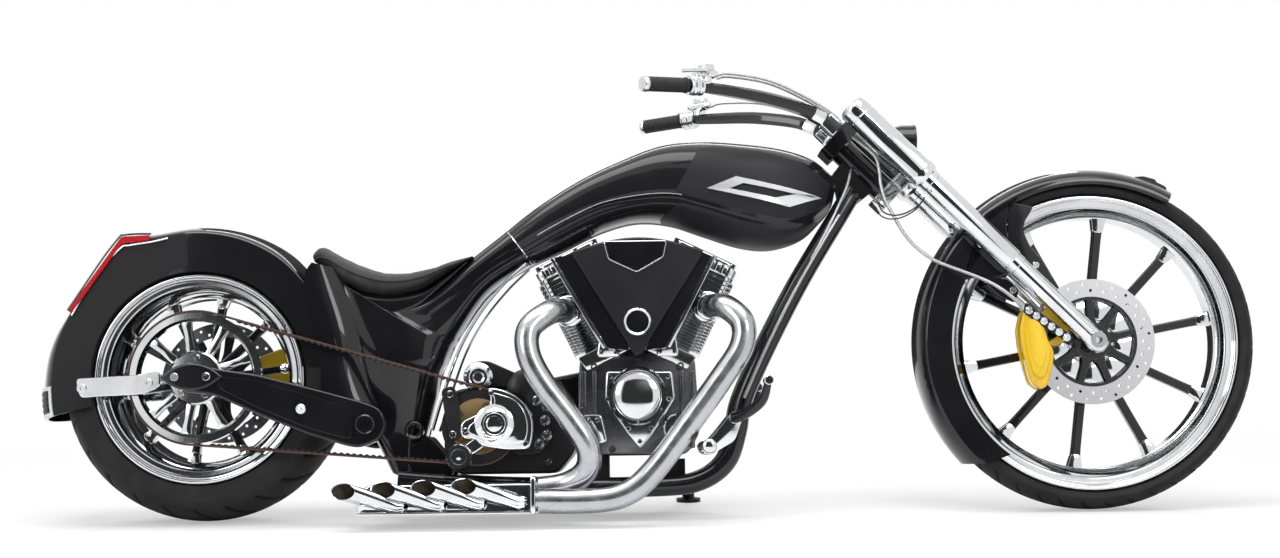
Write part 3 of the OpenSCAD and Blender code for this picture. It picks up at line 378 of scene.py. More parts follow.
# Engine: a V-twin with a dark cast alloy crankcase, two chromed finned barrels, and chromed heads with
# bolted rocker boxes. Pushrod tubes run up the right side, and a chromed cam cover closes the case.
def metal(name, colour, roughness, smear, coarse=14):
    """Bare or plated metal, with smears in its roughness."""
    made = Finish(name, Metallic=1.0)
    haze = made.noise(coarse, 5)
    return made.wear(Base_Color=made.mix(haze.step(0.3, 0.75), colour, [c * 0.86 for c in colour]),
                     Roughness=haze.step(0.35, 0.8) * smear + roughness,
                     Normal=made.bump(made.noise(coarse * 26, 2), 0.00002))


def rounded(x0, x1, z0, z1, r, steps=5):
    corners = [(x1 - r, z1 - r, 0), (x0 + r, z1 - r, 90), (x0 + r, z0 + r, 180), (x1 - r, z0 + r, 270)]
    turns = [(x, z, math.radians(a + 90 * k / steps)) for x, z, a in corners for k in range(steps + 1)]
    return [(x + r * math.cos(a), z + r * math.sin(a)) for x, z, a in turns]


def eased(corners, reach, steps=5):
    """An outline with each corner rounded, starting at most reach before it."""
    corners = np.array(corners, float)
    t = np.linspace(0, 1, steps + 1)[:, None]
    outline = []
    for before, corner, after in zip(np.roll(corners, 1, 0), corners, np.roll(corners, -1, 0)):
        a, b = (corner + (p - corner) * min(reach / np.linalg.norm(p - corner), 0.45)
                for p in (before, after))
        outline += list((1 - t) ** 2 * a + 2 * t * (1 - t) * corner + t ** 2 * b)
    return outline


def polar(r, degrees):
    return r * math.cos(math.radians(degrees)), r * math.sin(math.radians(degrees))


def places_from(origin):
    """A function that moves points from an origin in X and Z. A middle value stays as Y."""
    return lambda points: [(origin[0] + p[0], *p[1:-1], origin[1] + p[-1]) for p in points]


def ring_of(at, r, count, first=0.0):
    return places_from(at)([polar(r, first + 360 * k / count) for k in range(count)])


# Turned parts start this close to their axis, and bolted faces lie this far apart.
CORE, GAP = 0.02, 0.4


def lathe(profile, at, steps=72):
    """A closed outline of radius and side, turned about a line along Y through a point in X and Z."""
    outline = np.array(profile, float)
    turns = np.radians(360 * np.arange(steps) / steps)
    return skin([np.column_stack([at[0] + outline[:, 0] * math.cos(a), outline[:, 1],
                                  at[1] + outline[:, 0] * math.sin(a)]) for a in turns], looped=True)


def drum(at, r, y0, y1, edge=2.0, steps=56):
    """A round disc or boss along Y with chamfered edges."""
    profile = [(CORE, y0), (r - edge, y0), (r, y0 + edge), (r, y1 - edge), (r - edge, y1), (CORE, y1)]
    return lathe(profile, at, steps)


def screws(places, y, r=6, height=6, side=-1):
    """Socket-head bolts on a face at y, with their heads pointing out along side."""
    tip = y + side * height
    floor_y = tip - side * height * 0.6
    profile = [(CORE, y), (r, y), (r, tip - side), (r - 1, tip), (r * 0.5, tip), (r * 0.45, floor_y),
               (CORE, floor_y)]
    return [lathe(profile, at, 18) for at in places]


def post(rows, at=(0, 0), sides=40):
    """A turned post along Z. Row columns: height, radius."""
    return tube([(*at, z) for z, r in rows], [r for z, r in rows], sides)[:2]


def reordered(part, axes):
    """A part with its axes in another order, such as Y and Z exchanged."""
    return (part[0][:, axes], *part[1:])


CHROME = (0.74, 0.75, 0.77)
chrome = metal("chrome_plate", CHROME, 0.05, 0.08)
alloy = metal("polished_alloy", (0.40, 0.41, 0.43), 0.2, 0.2)
dark_alloy = metal("dark_alloy", (0.17, 0.17, 0.18), 0.24, 0.1)
satin_black = gloss_paint("satin_black_paint", (0.007, 0.007, 0.008), 0.36)
satin_black.wear(Coat_Weight=0.1, Specular_IOR_Level=0.25)
CRANK, CASE_HALF, DECK, HEAD_TOP, FIN_W = (-22, 275), 105, 140, 376, 178
V_HALF = math.radians(26)
V_COS, V_SIN = math.cos(V_HALF), math.sin(V_HALF)
from_crank = places_from(CRANK)


def on_cylinders(part):
    """A part drawn upright above the crank, put on the front cylinder and, mirrored, on the rear one."""
    x, y, z = np.array(part[0]).T
    ahead, above = x * V_COS + z * V_SIN, z * V_COS - x * V_SIN
    return [(np.column_stack([CRANK[0] + side * ahead, y, CRANK[1] + above]), part[1]) for side in (1, -1)]


def plate(outline, z0, z1, edge=1.0, steps=1):
    """An outline in X and Y raised from z0 to z1."""
    return reordered(slab(outline, z0, z1, edge, steps), [0, 2, 1])


DECK_HALF = 80
shoulder = (DECK * V_SIN + DECK_HALF * V_COS, DECK * V_COS - DECK_HALF * V_SIN)
case_line = eased(from_crank([(-143, -85), (-113, -135), (113, -135), (143, -85), shoulder,
                              (0, DECK / V_COS), (-shoulder[0], shoulder[1])]), 18)
rib_lines = [eased(from_crank([(x, -120), (x + 9, -120), (x + 9, 60), (x, 60)]), 4)
             for x in (-128, -104, 98, 122)]
ribs = [slab(line, -CASE_HALF - 7, -CASE_HALF + 1, 2) for line in rib_lines]
case_bolts = from_crank([(-118, -108), (-60, -122), (60, -122), (118, -108), (-125, -30), (128, -30),
                         (-100, 70), (100, 70)])
piece("crankcase", "chassis", dark_alloy, slab(case_line, -CASE_HALF, CASE_HALF, 7, 3), *both(*ribs),
      *both(*screws(case_bolts, -CASE_HALF, r=8, height=9)), replaces=["engine_case"], slot="alloy")
tappet_blocks = [slab(eased(from_crank([(x - 26, 92), (x + 26, 92), (x + 20, 142), (x - 20, 142)]), 8),
                      -CASE_HALF - 22, -CASE_HALF + 2, 3) for x in (-66, 70)]
oil_filter = lathe([(CORE, -CASE_HALF - 34), (30, -CASE_HALF - 34), (34, -CASE_HALF - 30),
                    (34, -CASE_HALF + 2), (CORE, -CASE_HALF + 2)], from_crank([(92, -74)])[0])
oil_pump = slab(eased(from_crank([(-128, -40), (-84, -40), (-70, -104), (-112, -112)]), 10), -CASE_HALF - 26,
                -CASE_HALF + 2, 4)
base_line = [(-78, DECK - 34), (78, DECK - 34), (84, DECK + 2), (-84, DECK + 2)]
bases = on_cylinders(slab(eased(base_line, 6), -CASE_HALF - 5, -CASE_HALF + 2, 2))
piece("case_covers", "chassis", chrome, *bases, *tappet_blocks, oil_filter, oil_pump,
      *screws(from_crank([(-112, -54), (-94, -54), (-96, -98)]), -CASE_HALF - 26, r=5, height=5),
      *screws(from_crank([(-82, 102), (-50, 102), (54, 102), (86, 102)]), -CASE_HALF - 22, r=4.5, height=4),
      slot="chrome")

FIN_FROM, FIN_TO, FINS, FIN_T, BORE = DECK + 10, HEAD_TOP - 92, 18, 2.6, 64
barrel_core = reordered(drum((0, 0), BORE, DECK + GAP, HEAD_TOP - 84, 1), [0, 2, 1])
piece("barrel_cores", "chassis", dark_alloy, *on_cylinders(barrel_core), slot="alloy")
barrel_parts = []
for fin in range(FINS):
    z = FIN_FROM + fin * (FIN_TO - FIN_FROM) / (FINS - 1)
    near = max(-FIN_W / 2, (1 - z * V_SIN) / V_COS + 1.6)
    fin_edge = rounded(near, FIN_W / 2, -FIN_W / 2 + 2, FIN_W / 2 - 2, 26)
    barrel_parts += on_cylinders(plate(fin_edge, z, z + FIN_T))
piece("barrels", "chassis", chrome, *barrel_parts, replaces=["cylinders"], slot="chrome")

head_parts = [plate(rounded(-79, 79, -86, 86, 14), HEAD_TOP - 83.6, HEAD_TOP - 34, 2),
              plate(rounded(-85, 85, -92, 92, 16), HEAD_TOP - 36, HEAD_TOP - 14, 3, 2),
              plate(rounded(-77, 77, -84, 84, 20), HEAD_TOP - 15, HEAD_TOP, 6, 3)]
head_parts += [plate(rounded(-91, 91, -90, 90, 22), HEAD_TOP - 80 + 11 * k, HEAD_TOP - 76.8 + 11 * k)
               for k in range(4)]
ROCKER_RIBS = 9
rocker_lines = [rounded(-70 + 16.5 * k, -61 + 16.5 * k, side * 93 - 3, side * 93 + 3, 2)
                for k in range(ROCKER_RIBS) for side in (-1, 1)]
head_parts += [plate(line, HEAD_TOP - 34, HEAD_TOP - 13) for line in rocker_lines]
rocker_bolts = [(x, y) for x in (-72, -24, 24, 72) for y in (-80, 80)]
head_parts += [plate(ring_of(at, 7, 6), HEAD_TOP - 12, HEAD_TOP - 1, 0.8) for at in rocker_bolts]
piece("rocker_heads", "chassis", chrome, *[side for part in head_parts for side in on_cylinders(part)],
      replaces=["heads"], slot="chrome")

push_rods = []
push_rows = [(0.3, 8), (1, 10), (14, 10), (16, 8), (70, 8), (71, 9.5), (76, 9.5), (77, 8), (140, 8),
             (142, 10), (154, 10), (155.7, 8)]
for x in (-22, 4):
    push_rods += on_cylinders(post([(DECK + z, r) for z, r in push_rows], (x, -FIN_W / 2 - 6.3), 20))
piece("pushrod_set", "chassis", chrome, *push_rods, replaces=["pushrod_tubes"], slot="chrome")

cam_line = eased(from_crank([(-72, 58), (80, 56), (86, -6), (34, -86), (4, -122), (-26, -86), (-76, -6)]), 9)
cam_bolts = from_crank([(-62, 46), (70, 44), (72, -8), (30, -74), (4, -104), (-22, -74), (-69, -6)])
piece("cam_cover_plate", "chassis", chrome, slab(cam_line, -160, -CASE_HALF - GAP, 6, 3),
      lathe([(55, -158), (67, -158), (67, -166), (64, -170), (59, -170), (56, -166), (55, -163)], CRANK),
      lathe([(CORE, -158), (56, -158), (56, -162), (48, -167), (32, -171), (15, -173), (CORE, -173.5)],
            CRANK),
      *screws(cam_bolts, -160, r=5.5, height=4), *screws(ring_of(CRANK, 61.5, 6, 30), -169, r=3, height=1.5),
      replaces=["cam_cover"], slot="chrome")

# Engine cover: a satin black triangular moulding between the cylinders, bolted to the heads.
# Black bars with bright edges run beside it, and it carries a plain ring cap and a bare plaque.
COVER_IN, COVER_OUT = 118, 190
crown = [(158 - 308 * t, 330 + 32 * math.sin(math.pi * t)) for t in np.linspace(0, 1, 17)]
cover_line = eased(from_crank([(-6, 92), (8, 92), *crown]), 14, 4)
lugs = [drum(p, 12, -COVER_IN - 1, -90.3, 1) for p in from_crank([(-110, 290), (112, 290)])]
piece("engine_side_cover", "chassis", satin_black, slab(cover_line, -COVER_OUT, -COVER_IN, 9, 4), *lugs,
      replaces=["engine_cover"], slot="black_metal")
plaque_line = from_crank([(-72, 352), (70, 352), (62, 316), (2, 282), (-62, 312)])
piece("plaque", "chassis", gloss_black, slab(eased(plaque_line, 6), -COVER_OUT - 3, -COVER_OUT + 3, 1.5),
      slot="black_paint")
plaque_edge = np.array([(x, -COVER_OUT - 1.5, z) for x, z in eased(plaque_line, 6)])
cap_at = from_crank([(2, 168)])[0]
bars = [[(-66, 108), (-188, 318), (-140, 326), (-16, 104)], [(66, 108), (174, 318), (148, 326), (18, 104)]]
bar_edges = [[(-78, 108), (-198, 316), (-191, 320), (-71, 112)],
             [(76, 108), (184, 316), (177, 320), (69, 112)]]
piece("plaque_edge", "chassis", chrome, tube(np.vstack([plaque_edge, plaque_edge[:2]]), 1.7, 10)[:2],
      lathe([(24, -189), (31, -189), (31, -193), (28.5, -195), (26, -193.5)], cap_at),
      *[slab(eased(from_crank(line), 3), -176, -168, 1.5) for line in bar_edges], slot="chrome")
piece("cover_cap", "chassis", gloss_black,
      lathe([(CORE, -187), (25, -187), (25, -191.5), (CORE, -193)], cap_at),
      *[slab(eased(from_crank(line), 4), -182, -150, 3) for line in bars], slot="black_paint")
dressed("engine_cradle", satin_black)


# Transmission: a black cast case behind the engine with a bolted bearing plate.
# A chromed guard with a plain cap covers the bronze front pulley, and a round chromed peg hangs below it.
GUARD = (-348, 215)
from_guard = places_from(GUARD)
gearbox_line = eased([(-470, 150), (-440, 101), (-210, 101), (-168, 150), (-168, 275), (-230, 290),
                      (-262, 300), (-430, 300), (-470, 280)], 16)
bearing_line = eased(from_guard([(30, 70), (112, 66), (128, 40), (128, -34), (104, -70), (40, -74)]), 22)
piece("gearbox", "chassis", satin_black, slab(gearbox_line, -CASE_HALF, CASE_HALF, 8, 3),
      slab(bearing_line, -132, -CASE_HALF, 5, 2),
      lathe([(CORE, -134), (30, -134), (42, -126), (46, -112), (46, -40), (CORE, -40)], (-280, 296)),
      replaces=["transmission"], slot="black_metal")
bearing_bolts = from_guard([(92, 54), (116, 40), (116, -26), (98, -46), (112, 8)])
piece("gearbox_bolts", "chassis", chrome, *screws(bearing_bolts, -132, r=9, height=8),
      *[drum(p, 12, -134, -132, 1) for p in bearing_bolts],
      *screws([(-452, 262), (-452, 166), (-424, 128), (-230, 128)], -CASE_HALF, r=8, height=8), slot="chrome")
guard_line = from_guard([(-18, 84), (14, 80), (48, 66), (74, 42), (88, 9), (88, -20), (80, -59), (25, -59),
                         (-32, -50), (-42, -36), (-77, -32), (-79, 5), (-20, 32), (-8, 54)])
guard_ridge = from_guard([(-8, 74), (44, 58), (66, 36), (76, 6), (76, -24), (66, -48), (20, -48), (-22, -40),
                          (-60, -22), (-60, -2), (-8, 24), (2, 52)])
piece("pulley_guard", "chassis", chrome, slab(eased(guard_line, 14), -184, -170.5, 5, 3),
      slab(eased(guard_ridge, 14), -191, -182, 6, 3),
      lathe([(CORE, -186), (46, -186), (44, -192), (33, -196), (29, -200), (26, -200), (23, -197),
             (CORE, -196)], GUARD),
      lathe([(CORE, -195), (18, -195), (18, -198), (15, -199), (CORE, -199.4)], GUARD),
      *screws(from_guard([(70, -46), (-66, -14), (-6, 70)]), -184, r=6, height=7),
      *[drum((-275, 210 + z), 12, -172, -105.4, 1) for z in (-24, 24)], replaces=["transmission_cover"],
      slot="chrome")
PEG = (-428, 141)
piece("round_peg", "chassis", chrome,
      lathe([(CORE, -176), (20, -176), (29, -184), (31, -194), (30, -206), (27, -211), (19, -211), (16, -206),
             (8, -204), (7, -208), (CORE, -209)], PEG),
      slab(eased([(-440, 150), (-426, 128), (-372, 164), (-386, 188)], 8), -182, -171, 2), slot="chrome")
piece("peg_rubber", "chassis", satin_black, lathe([(8, -203), (18, -205), (18, -207), (8, -206)], PEG),
      slot="black_metal")

# Starter motor: a chromed end cap with turned rings on a black body.
# An arm bolts it on top of the gearbox.
STARTER = (-388, 324)
piece("starter_cap", "chassis", chrome,
      lathe([(CORE, -134), (10, -134), (14, -130), (20, -130), (22, -136), (27, -137), (33, -133), (35, -126),
             (35, -112), (CORE, -112)], STARTER),
      *screws(ring_of(STARTER, 30, 3, 40), -135, r=3.5, height=3), slot="chrome")
starter_arm = eased([(-420, 300.5), (-418, 346), (-392, 362), (-366, 362), (-300, 332), (-296, 301)], 10)
piece("starter_body", "chassis", satin_black,
      lathe([(CORE, -113), (33, -113), (33, -56), (30, -52), (CORE, -52)], STARTER),
      slab(starter_arm, -112, -60, 4, 2), replaces=["starter"], slot="black_metal")

# Final drive: a toothed rubber belt with a red-brown edge on a bronze front pulley, and a black primary
# cover with an inspection cap on the left side.
BELT_IN, BELT_OUT, BELT_T = 139.5, 164.5, 5
FRONT_PULLEY, FRONT_R, REAR_R = (-386, 210), 84, 150
bronze = metal("bronze_pulley", (0.26, 0.18, 0.09), 0.34, 0.2)
piece("front_pulley_wheel", "chassis", bronze,
      lathe([(CORE, -158), (40, -158), (62, -163), (76, -165.5), (FRONT_R, -165.5), (FRONT_R, -138.5),
             (22, -138.5), (22, -105.4), (CORE, -105.4)], FRONT_PULLEY),
      *[drum(p, 7, -163, -156, 1) for p in ring_of(FRONT_PULLEY, 50, 5)], replaces=["front_pulley_disc"],
      slot="bronze")
guard_arm_line = eased([(-470, 296), (-440, 304), (-428, 262), (-424, 214), (-424, 184), (-448, 178),
                        (-462, 240)], 12)
piece("guard_arm", "chassis", satin_black, slab(guard_arm_line, -180, -170, 3),
      lathe([(64, -166.5), (FRONT_R, -166.5), (FRONT_R, -165), (64, -165)], FRONT_PULLEY), slot="black_metal")
piece("guard_arm_bolts", "chassis", chrome, *screws([(-449, 284), (-443, 192)], -180, r=8, height=7),
      slot="chrome")
rubber_belt = Finish("belt_rubber", Specular_IOR_Level=0.35)
belt_side = (rubber_belt.axis(1) * -1).step(BELT_OUT / 1000 - 0.0012, BELT_OUT / 1000 - 0.0004)
belt_dust = rubber_belt.noise(60, 4)
rubber_belt.wear(Base_Color=rubber_belt.mix(belt_side * rubber_belt.mark("edge").step(0.5, 0.6),
                                            (0.012, 0.012, 0.013), (0.09, 0.034, 0.02)),
                 Roughness=belt_dust * 0.25 + 0.5)


def belt_line(grow):
    """The belt's run round both pulleys: points in X and Z, grow outside the pulleys."""
    a, b = np.array(rear_axle, float), np.array(FRONT_PULLEY, float)
    ra, rb = REAR_R + GAP + grow, FRONT_R + GAP + grow
    span = math.atan2(b[1] - a[1], b[0] - a[0])
    open_at = math.acos((ra - rb) / np.linalg.norm(b - a))
    rear_turn = np.linspace(span + open_at, span + 2 * math.pi - open_at, 70)
    front_turn = np.linspace(span - open_at, span + open_at, 44)
    arc = [a + ra * np.array([math.cos(t), math.sin(t)]) for t in rear_turn]
    arc += list(arc[-1] + (b + rb * np.array([math.cos(front_turn[0]), math.sin(front_turn[0])]) - arc[-1])
                * np.linspace(0, 1, 90)[1:-1, None])
    arc += [b + rb * np.array([math.cos(t), math.sin(t)]) for t in front_turn]
    arc += list(arc[-1] + (arc[0] - arc[-1]) * np.linspace(0, 1, 90)[1:-1, None])
    return np.array(arc)


outer, inner = belt_line(BELT_T), belt_line(0.3)
clear_of_pulleys = np.minimum(np.linalg.norm(inner - np.array(rear_axle), axis=1) - REAR_R,
                              np.linalg.norm(inner - np.array(FRONT_PULLEY), axis=1) - FRONT_R)
tooth = np.where((np.arange(len(outer)) % 2 == 0) & (clear_of_pulleys > 8), 1.0, 0.0)[:, None]
inner = inner - (outer - inner) * 0.9 * tooth
belt_rings = [[(o[0], -BELT_OUT, o[1]), (o[0], -BELT_IN, o[1]), (i[0], -BELT_IN, i[1]),
               (i[0], -BELT_OUT, i[1])] for o, i in zip(outer, inner)]
belt_edge = {"edge": np.tile([1.0, 1.0, 0.0, 0.0], len(outer))}
piece("toothed_belt", "chassis", rubber_belt, (*skin(belt_rings, looped=True), belt_edge),
      replaces=["drive_belt"], slot="belt", sharp=25)
primary_ends = [(CRANK, 96, np.linspace(-1.75, 1.5, 22)), ((-372, 210), 92, np.linspace(1.66, 4.6, 22))]
primary_line = eased([(at[0] + r * math.cos(t), at[1] + r * math.sin(t))
                      for at, r, turns in primary_ends for t in turns], 3, 2)
primary_edge = [(-30, 356), (-150, 334), (-290, 312), (-398, 280), (-448, 214), (-398, 138), (-280, 134),
                (-150, 156), (-30, 192)]
PRIMARY_OUT = 168
piece("primary_case", "chassis", gloss_black, slab(primary_line, CASE_HALF + GAP, PRIMARY_OUT, 12, 4),
      lathe([(CORE, 166), (70, 166), (70, 172), (64, 176), (50, 178), (CORE, 179)], CRANK),
      replaces=["primary_cover"], slot="black_metal")
piece("primary_bolts", "chassis", chrome, *screws(primary_edge, PRIMARY_OUT, side=1),
      *screws(ring_of(CRANK, 58, 5), PRIMARY_OUT + 9, r=4.5, height=4, side=1), slot="chrome")


# Exhaust: two mandrel-bent stainless pipes, brushed along their length and tinted by heat near the heads,
# that run into a polished box under the gearbox. A bolted flange joins them.
steel_pipe = Finish("brushed_stainless", Metallic=1.0)
heat = steel_pipe.mark("along").step(0.26, 0.02)
brush = steel_pipe.noise(30, 5, (1.0, 6.0, 1.0))
brushed = steel_pipe.mix(brush.step(0.3, 0.7), (0.44, 0.45, 0.47), (0.50, 0.51, 0.53))
steel_pipe.wear(Base_Color=steel_pipe.mix(heat * 0.55, brushed, (0.34, 0.33, 0.33)),
                Roughness=brush.step(0.3, 0.7) * 0.06 + 0.22,
                Normal=steel_pipe.bump(steel_pipe.noise(700, 2), 0.00001))
PIPE_R, BOX_X0, BOX_X1, FLANGE_T = 28, -655, -262, 9
PIPE_END = BOX_X1 + FLANGE_T + GAP
rear_pipe = smooth([(-178, -93, 474), (-190, -140, 474), (-222, -188, 466), (-266, -214, 428),
                    (-268, -222, 372), (-236, -222, 306), (-176, -222, 226), (-136, -218, 160),
                    (-140, -204, 108), (-186, -188, 76), (PIPE_END, -182, 66)], 8)
front_pipe = smooth([(140, -93, 480), (152, -142, 480), (182, -192, 474), (218, -216, 436), (214, -222, 380),
                     (168, -226, 310), (86, -232, 200), (10, -236, 102), (-46, -240, 56), (-116, -240, 40),
                     (PIPE_END, -240, 40)], 8)
for name, line in (("exhaust_rear", rear_pipe), ("exhaust_front", front_pipe)):
    piece(name + "_pipe", "chassis", steel_pipe, tube(line, PIPE_R, 40), replaces=[name], slot="stainless")
collar_parts = []
for line in (rear_pipe, front_pipe):
    start, way = line[2], unit(line[4] - line[2])
    for near, far, r in ((0, 12, 36), (16, 34, 32)):
        collar_path = [start + way * s for s in (near, near + 2, far - 2, far)]
        collar_parts.append(tube(collar_path, [r - 3, r, r, r - 3], 40))
piece("exhaust_collars", "chassis", chrome, *collar_parts, slot="chrome")

# Muffler: a flat polished box with four slash-cut outlets welded to its outer side.
# The outlets are open and brown with soot inside.
TIPS, MOUTH_LONG, MOUTH_HIGH = 4, 31, 19
turn = np.radians(360 * np.arange(36) / 36)
out_parts, soot_parts = [], []
for k in range(TIPS):
    mouth = np.array([-681 + 89.7 * k, -268, 67 + 2.4 * k])
    root = mouth + (118, 22, -35)

    def lip(share, back=0.0):
        across = np.column_stack([MOUTH_LONG * np.cos(turn), -21 * np.cos(turn), MOUTH_HIGH * np.sin(turn)])
        return mouth + share * across + (root - mouth) * back

    def root_ring(share, ahead):
        return root + np.column_stack([ahead + 0 * turn, -22 * share * np.cos(turn),
                                       20 * share * np.sin(turn)])

    out_parts.append(skin([root_ring(0.3, 22), root_ring(0.75, 16), root_ring(1.0, 2), lip(1.0),
                           lip(0.97, -0.012), lip(0.93)], capped=False))
    bore, walls = skin([lip(0.935), lip(0.86, 0.2), lip(0.74, 0.5), lip(0.5, 0.72)])
    soot_parts.append((bore, walls[:-2] + walls[-1:]))
box_line = eased([(BOX_X0, 14), (BOX_X1, 14), (BOX_X1, 80), (BOX_X0 + 26, 80), (BOX_X0, 60)], 8)
flange_line = [(-274, 10), (-144, 10), (-144, 96), (-274, 96)]
flange = reordered(slab(eased(flange_line, 10), BOX_X1 - 1, BOX_X1 + FLANGE_T, 2), [1, 0, 2])
hex_rows = [(BOX_X1 + FLANGE_T + x, r) for x, r in ((0, 5.5), (1.5, 7), (6.5, 7), (8, 5.5))]
flange_bolts = [tube([(x, y, z) for x, r in hex_rows], [r for x, r in hex_rows], 6)
                for y in (-264, -156) for z in (20, 86)]
sill_line = eased([(BOX_X0 + 4, 13), (BOX_X1 - 2, 13), (BOX_X1 - 2, 19), (BOX_X0 + 4, 19)], 2)
piece("muffler_box", "chassis", chrome, slab(box_line, -240, -148, 5, 3), flange,
      slab(sill_line, -276, -238, 1.5), *flange_bolts, *out_parts, replaces=["muffler"], slot="stainless")
soot = Finish("sooty_steel", Specular_IOR_Level=0.25)
ash = soot.noise(40, 4)
soot.wear(Base_Color=soot.mix(ash.step(0.35, 0.7), (0.012, 0.010, 0.007), (0.050, 0.038, 0.024)),
          Roughness=ash * 0.25 + 0.5)
piece("muffler_mouths", "chassis", soot, *soot_parts, slot="stainless")
# A black strip on the box's outer face, just before the flange, is painted shade of the recess there.
flange_shade_strip = eased([(-292, 22), (-270, 22), (-270, 74), (-292, 74)], 3)
piece("muffler_flange_painted_shade", "chassis", satin_black, slab(flange_shade_strip, -243, -239, 1), slot="black_metal")


# Swingarm: two gloss black plates of box section on the pivot shaft, which carry the rear axle.
# Almond-shaped covers with two bolts hide the axle's ends, and chromed struts hold the fender.
ARM_IN, ARM_OUT, PIVOT = 172, 200, (-640, 218)
from_axle, from_pivot = places_from(rear_axle), places_from(PIVOT)
arm_line = eased([*from_axle([(-27, -30), (-39, 0), (-27, 28), (0, 36), (46, 20), (149, 4)]),
                  *from_pivot([(-107, 80), (0, 50), (36, 34), (48, 0), (36, -34), (0, -50), (-27, -53),
                               (-130, -22)]), *from_axle([(149, -87), (47, -40), (0, -36)])], 26)
groove_line = eased([*from_axle([(60, 2), (150, -10)]),
                     *from_pivot([(-110, 62), (-30, 38), (-30, -36), (-128, -8)]),
                     *from_axle([(150, -72), (60, -26)])], 16)
right_arm = [slab(arm_line, -ARM_OUT, -ARM_IN, 6, 3), slab(groove_line, -ARM_OUT - 3, -ARM_OUT + 2, 2, 2)]
piece("swingarm_plate_right", "chassis", gloss_black, *right_arm, replaces=["swingarm_right"],
      slot="black_paint")
piece("swingarm_plate_left", "chassis", gloss_black, *map(mirrored_part, right_arm),
      replaces=["swingarm_left"], slot="black_paint")
cap = lathe([(CORE, -ARM_OUT - 6), (10, -ARM_OUT - 6), (10, -ARM_OUT - 11), (19, -ARM_OUT - 11),
             (22, -ARM_OUT - 8), (22, -ARM_OUT - GAP), (14, -ARM_OUT - GAP), (14, -100), (CORE, -100)], PIVOT)
piece("pivot_caps", "chassis", gloss_black, *both(cap), replaces=["pivot_shaft"], slot="black_metal")
dressed("rear_axle_pin", alloy)
ALMOND_L, ALMOND_H = 70, 31
almond_r = (ALMOND_L ** 2 + ALMOND_H ** 2) / (2 * ALMOND_H)
bend = math.asin(ALMOND_L / almond_r)
upper = [(almond_r * math.sin(t), almond_r * math.cos(t) - almond_r + ALMOND_H)
         for t in np.linspace(-bend, bend, 25)]
almond = slab(from_axle([*upper, *[(x, -z) for x, z in upper[-2:0:-1]]]), -ARM_OUT - 16, -ARM_OUT - GAP, 6, 3)
piece("axle_covers_black", "chassis", gloss_black, *both(almond), replaces=["axle_covers"],
      slot="black_metal")
cover_bolts = screws(from_axle([(-36, 0), (36, 0)]), -ARM_OUT - 15, r=9, height=6)
acorn = lathe([(CORE, -ARM_OUT - 20), (5, -ARM_OUT - 19), (11, -ARM_OUT - 14), (13, -ARM_OUT - 6),
               (13, -ARM_OUT - 1), (CORE, -ARM_OUT - 1)], from_axle([(249, -76)])[0])
piece("swingarm_bolts", "chassis", chrome, *both(*cover_bolts, acorn), slot="chrome")
strut_line = eased(from_axle([(-262, 0), (-252, -44), (-110, -38), (-70, -22), (-70, 14), (-120, 6)]), 12)
strut = slab(strut_line, -ARM_OUT - 10, -ARM_OUT - GAP, 3, 2)
boss = drum(from_axle([(-250, -22)])[0], 11, -ARM_OUT - 2, -137.4, 1)
strut_bolts = screws(from_axle([(-246, -22), (-96, -12)]), -ARM_OUT - 9, r=9, height=6)
piece("fender_strut_bars", "chassis", chrome, *both(strut, boss, *strut_bolts), replaces=["fender_struts"],
      slot="chrome", sharp=20)

# Rear wheel: a wide radial tyre with sparse road grooves on a deep chromed rim. Ten black machined spokes
# with chromed feet join the rim to the hub, which carries the belt pulley and the brake disc.
rubber = Finish("tyre_rubber", Specular_IOR_Level=0.18)
scuff = rubber.noise(22, 6)
worn = rubber.mix(scuff.step(0.3, 0.75), (0.010, 0.010, 0.0105), (0.020, 0.0195, 0.0195))
# The grooves are painted near black, as painted shade in the cuts. The scuffs are wear in the rubber.
rubber.wear(Base_Color=rubber.mix(rubber.mark("groove").step(0.2, 0.7), worn, (0.001, 0.001, 0.001)),
            Roughness=scuff * 0.3 + 0.48, Normal=rubber.bump(rubber.noise(900, 2), 0.00008))


def tyre(at, d, w, lip_d, rim_w, share, grooves, lean_groove, depth):
    """A tyre ring with curved grooves cut into both sides of its tread, with a mark for painted shade in the
    grooves.
    """
    lip, seat = lip_d / 2, rim_w / 2 - 13
    wide = lip + share * (d / 2 - lip)
    crown = [(wide + (d / 2 - wide) * math.sin(t), w / 2 * math.cos(t))
             for t in np.radians(np.linspace(0, 180, 61))]
    wall = [(lip - 18.5, seat), (lip + 0.5, seat), (lip + 4.5, (seat + w) / 3)]
    profile = np.array([*wall, *crown, *[(r, -y) for r, y in wall[::-1]]])
    around = np.radians(360 * np.arange(540) / 540)
    side = profile[:, 1] / (w / 2)
    tread = np.clip((profile[:, 0] - wide) / (d / 2 - wide), 0, 1)
    on_tread = np.clip((tread - 0.42) / 0.06, 0, 1)
    off_middle = np.clip((np.abs(side) - 0.1) / 0.05, 0, 1)
    rings, groove_shades = [], []
    for a in around:
        swing = a * grooves / (2 * math.pi) + lean_groove * np.abs(side) ** 1.5 + np.where(side > 0, 0.5, 0)
        near = np.abs((swing + 0.5) % 1 - 0.5)
        cut = np.clip((0.075 - near) / 0.03, 0, 1) * on_tread * off_middle
        groove_shades.append(cut)
        r = profile[:, 0] - depth * cut
        rings.append(np.column_stack([at[0] + r * math.cos(a), profile[:, 1], at[1] + r * math.sin(a)]))
    return *skin(rings, looped=True), {"groove": np.concatenate(groove_shades)}


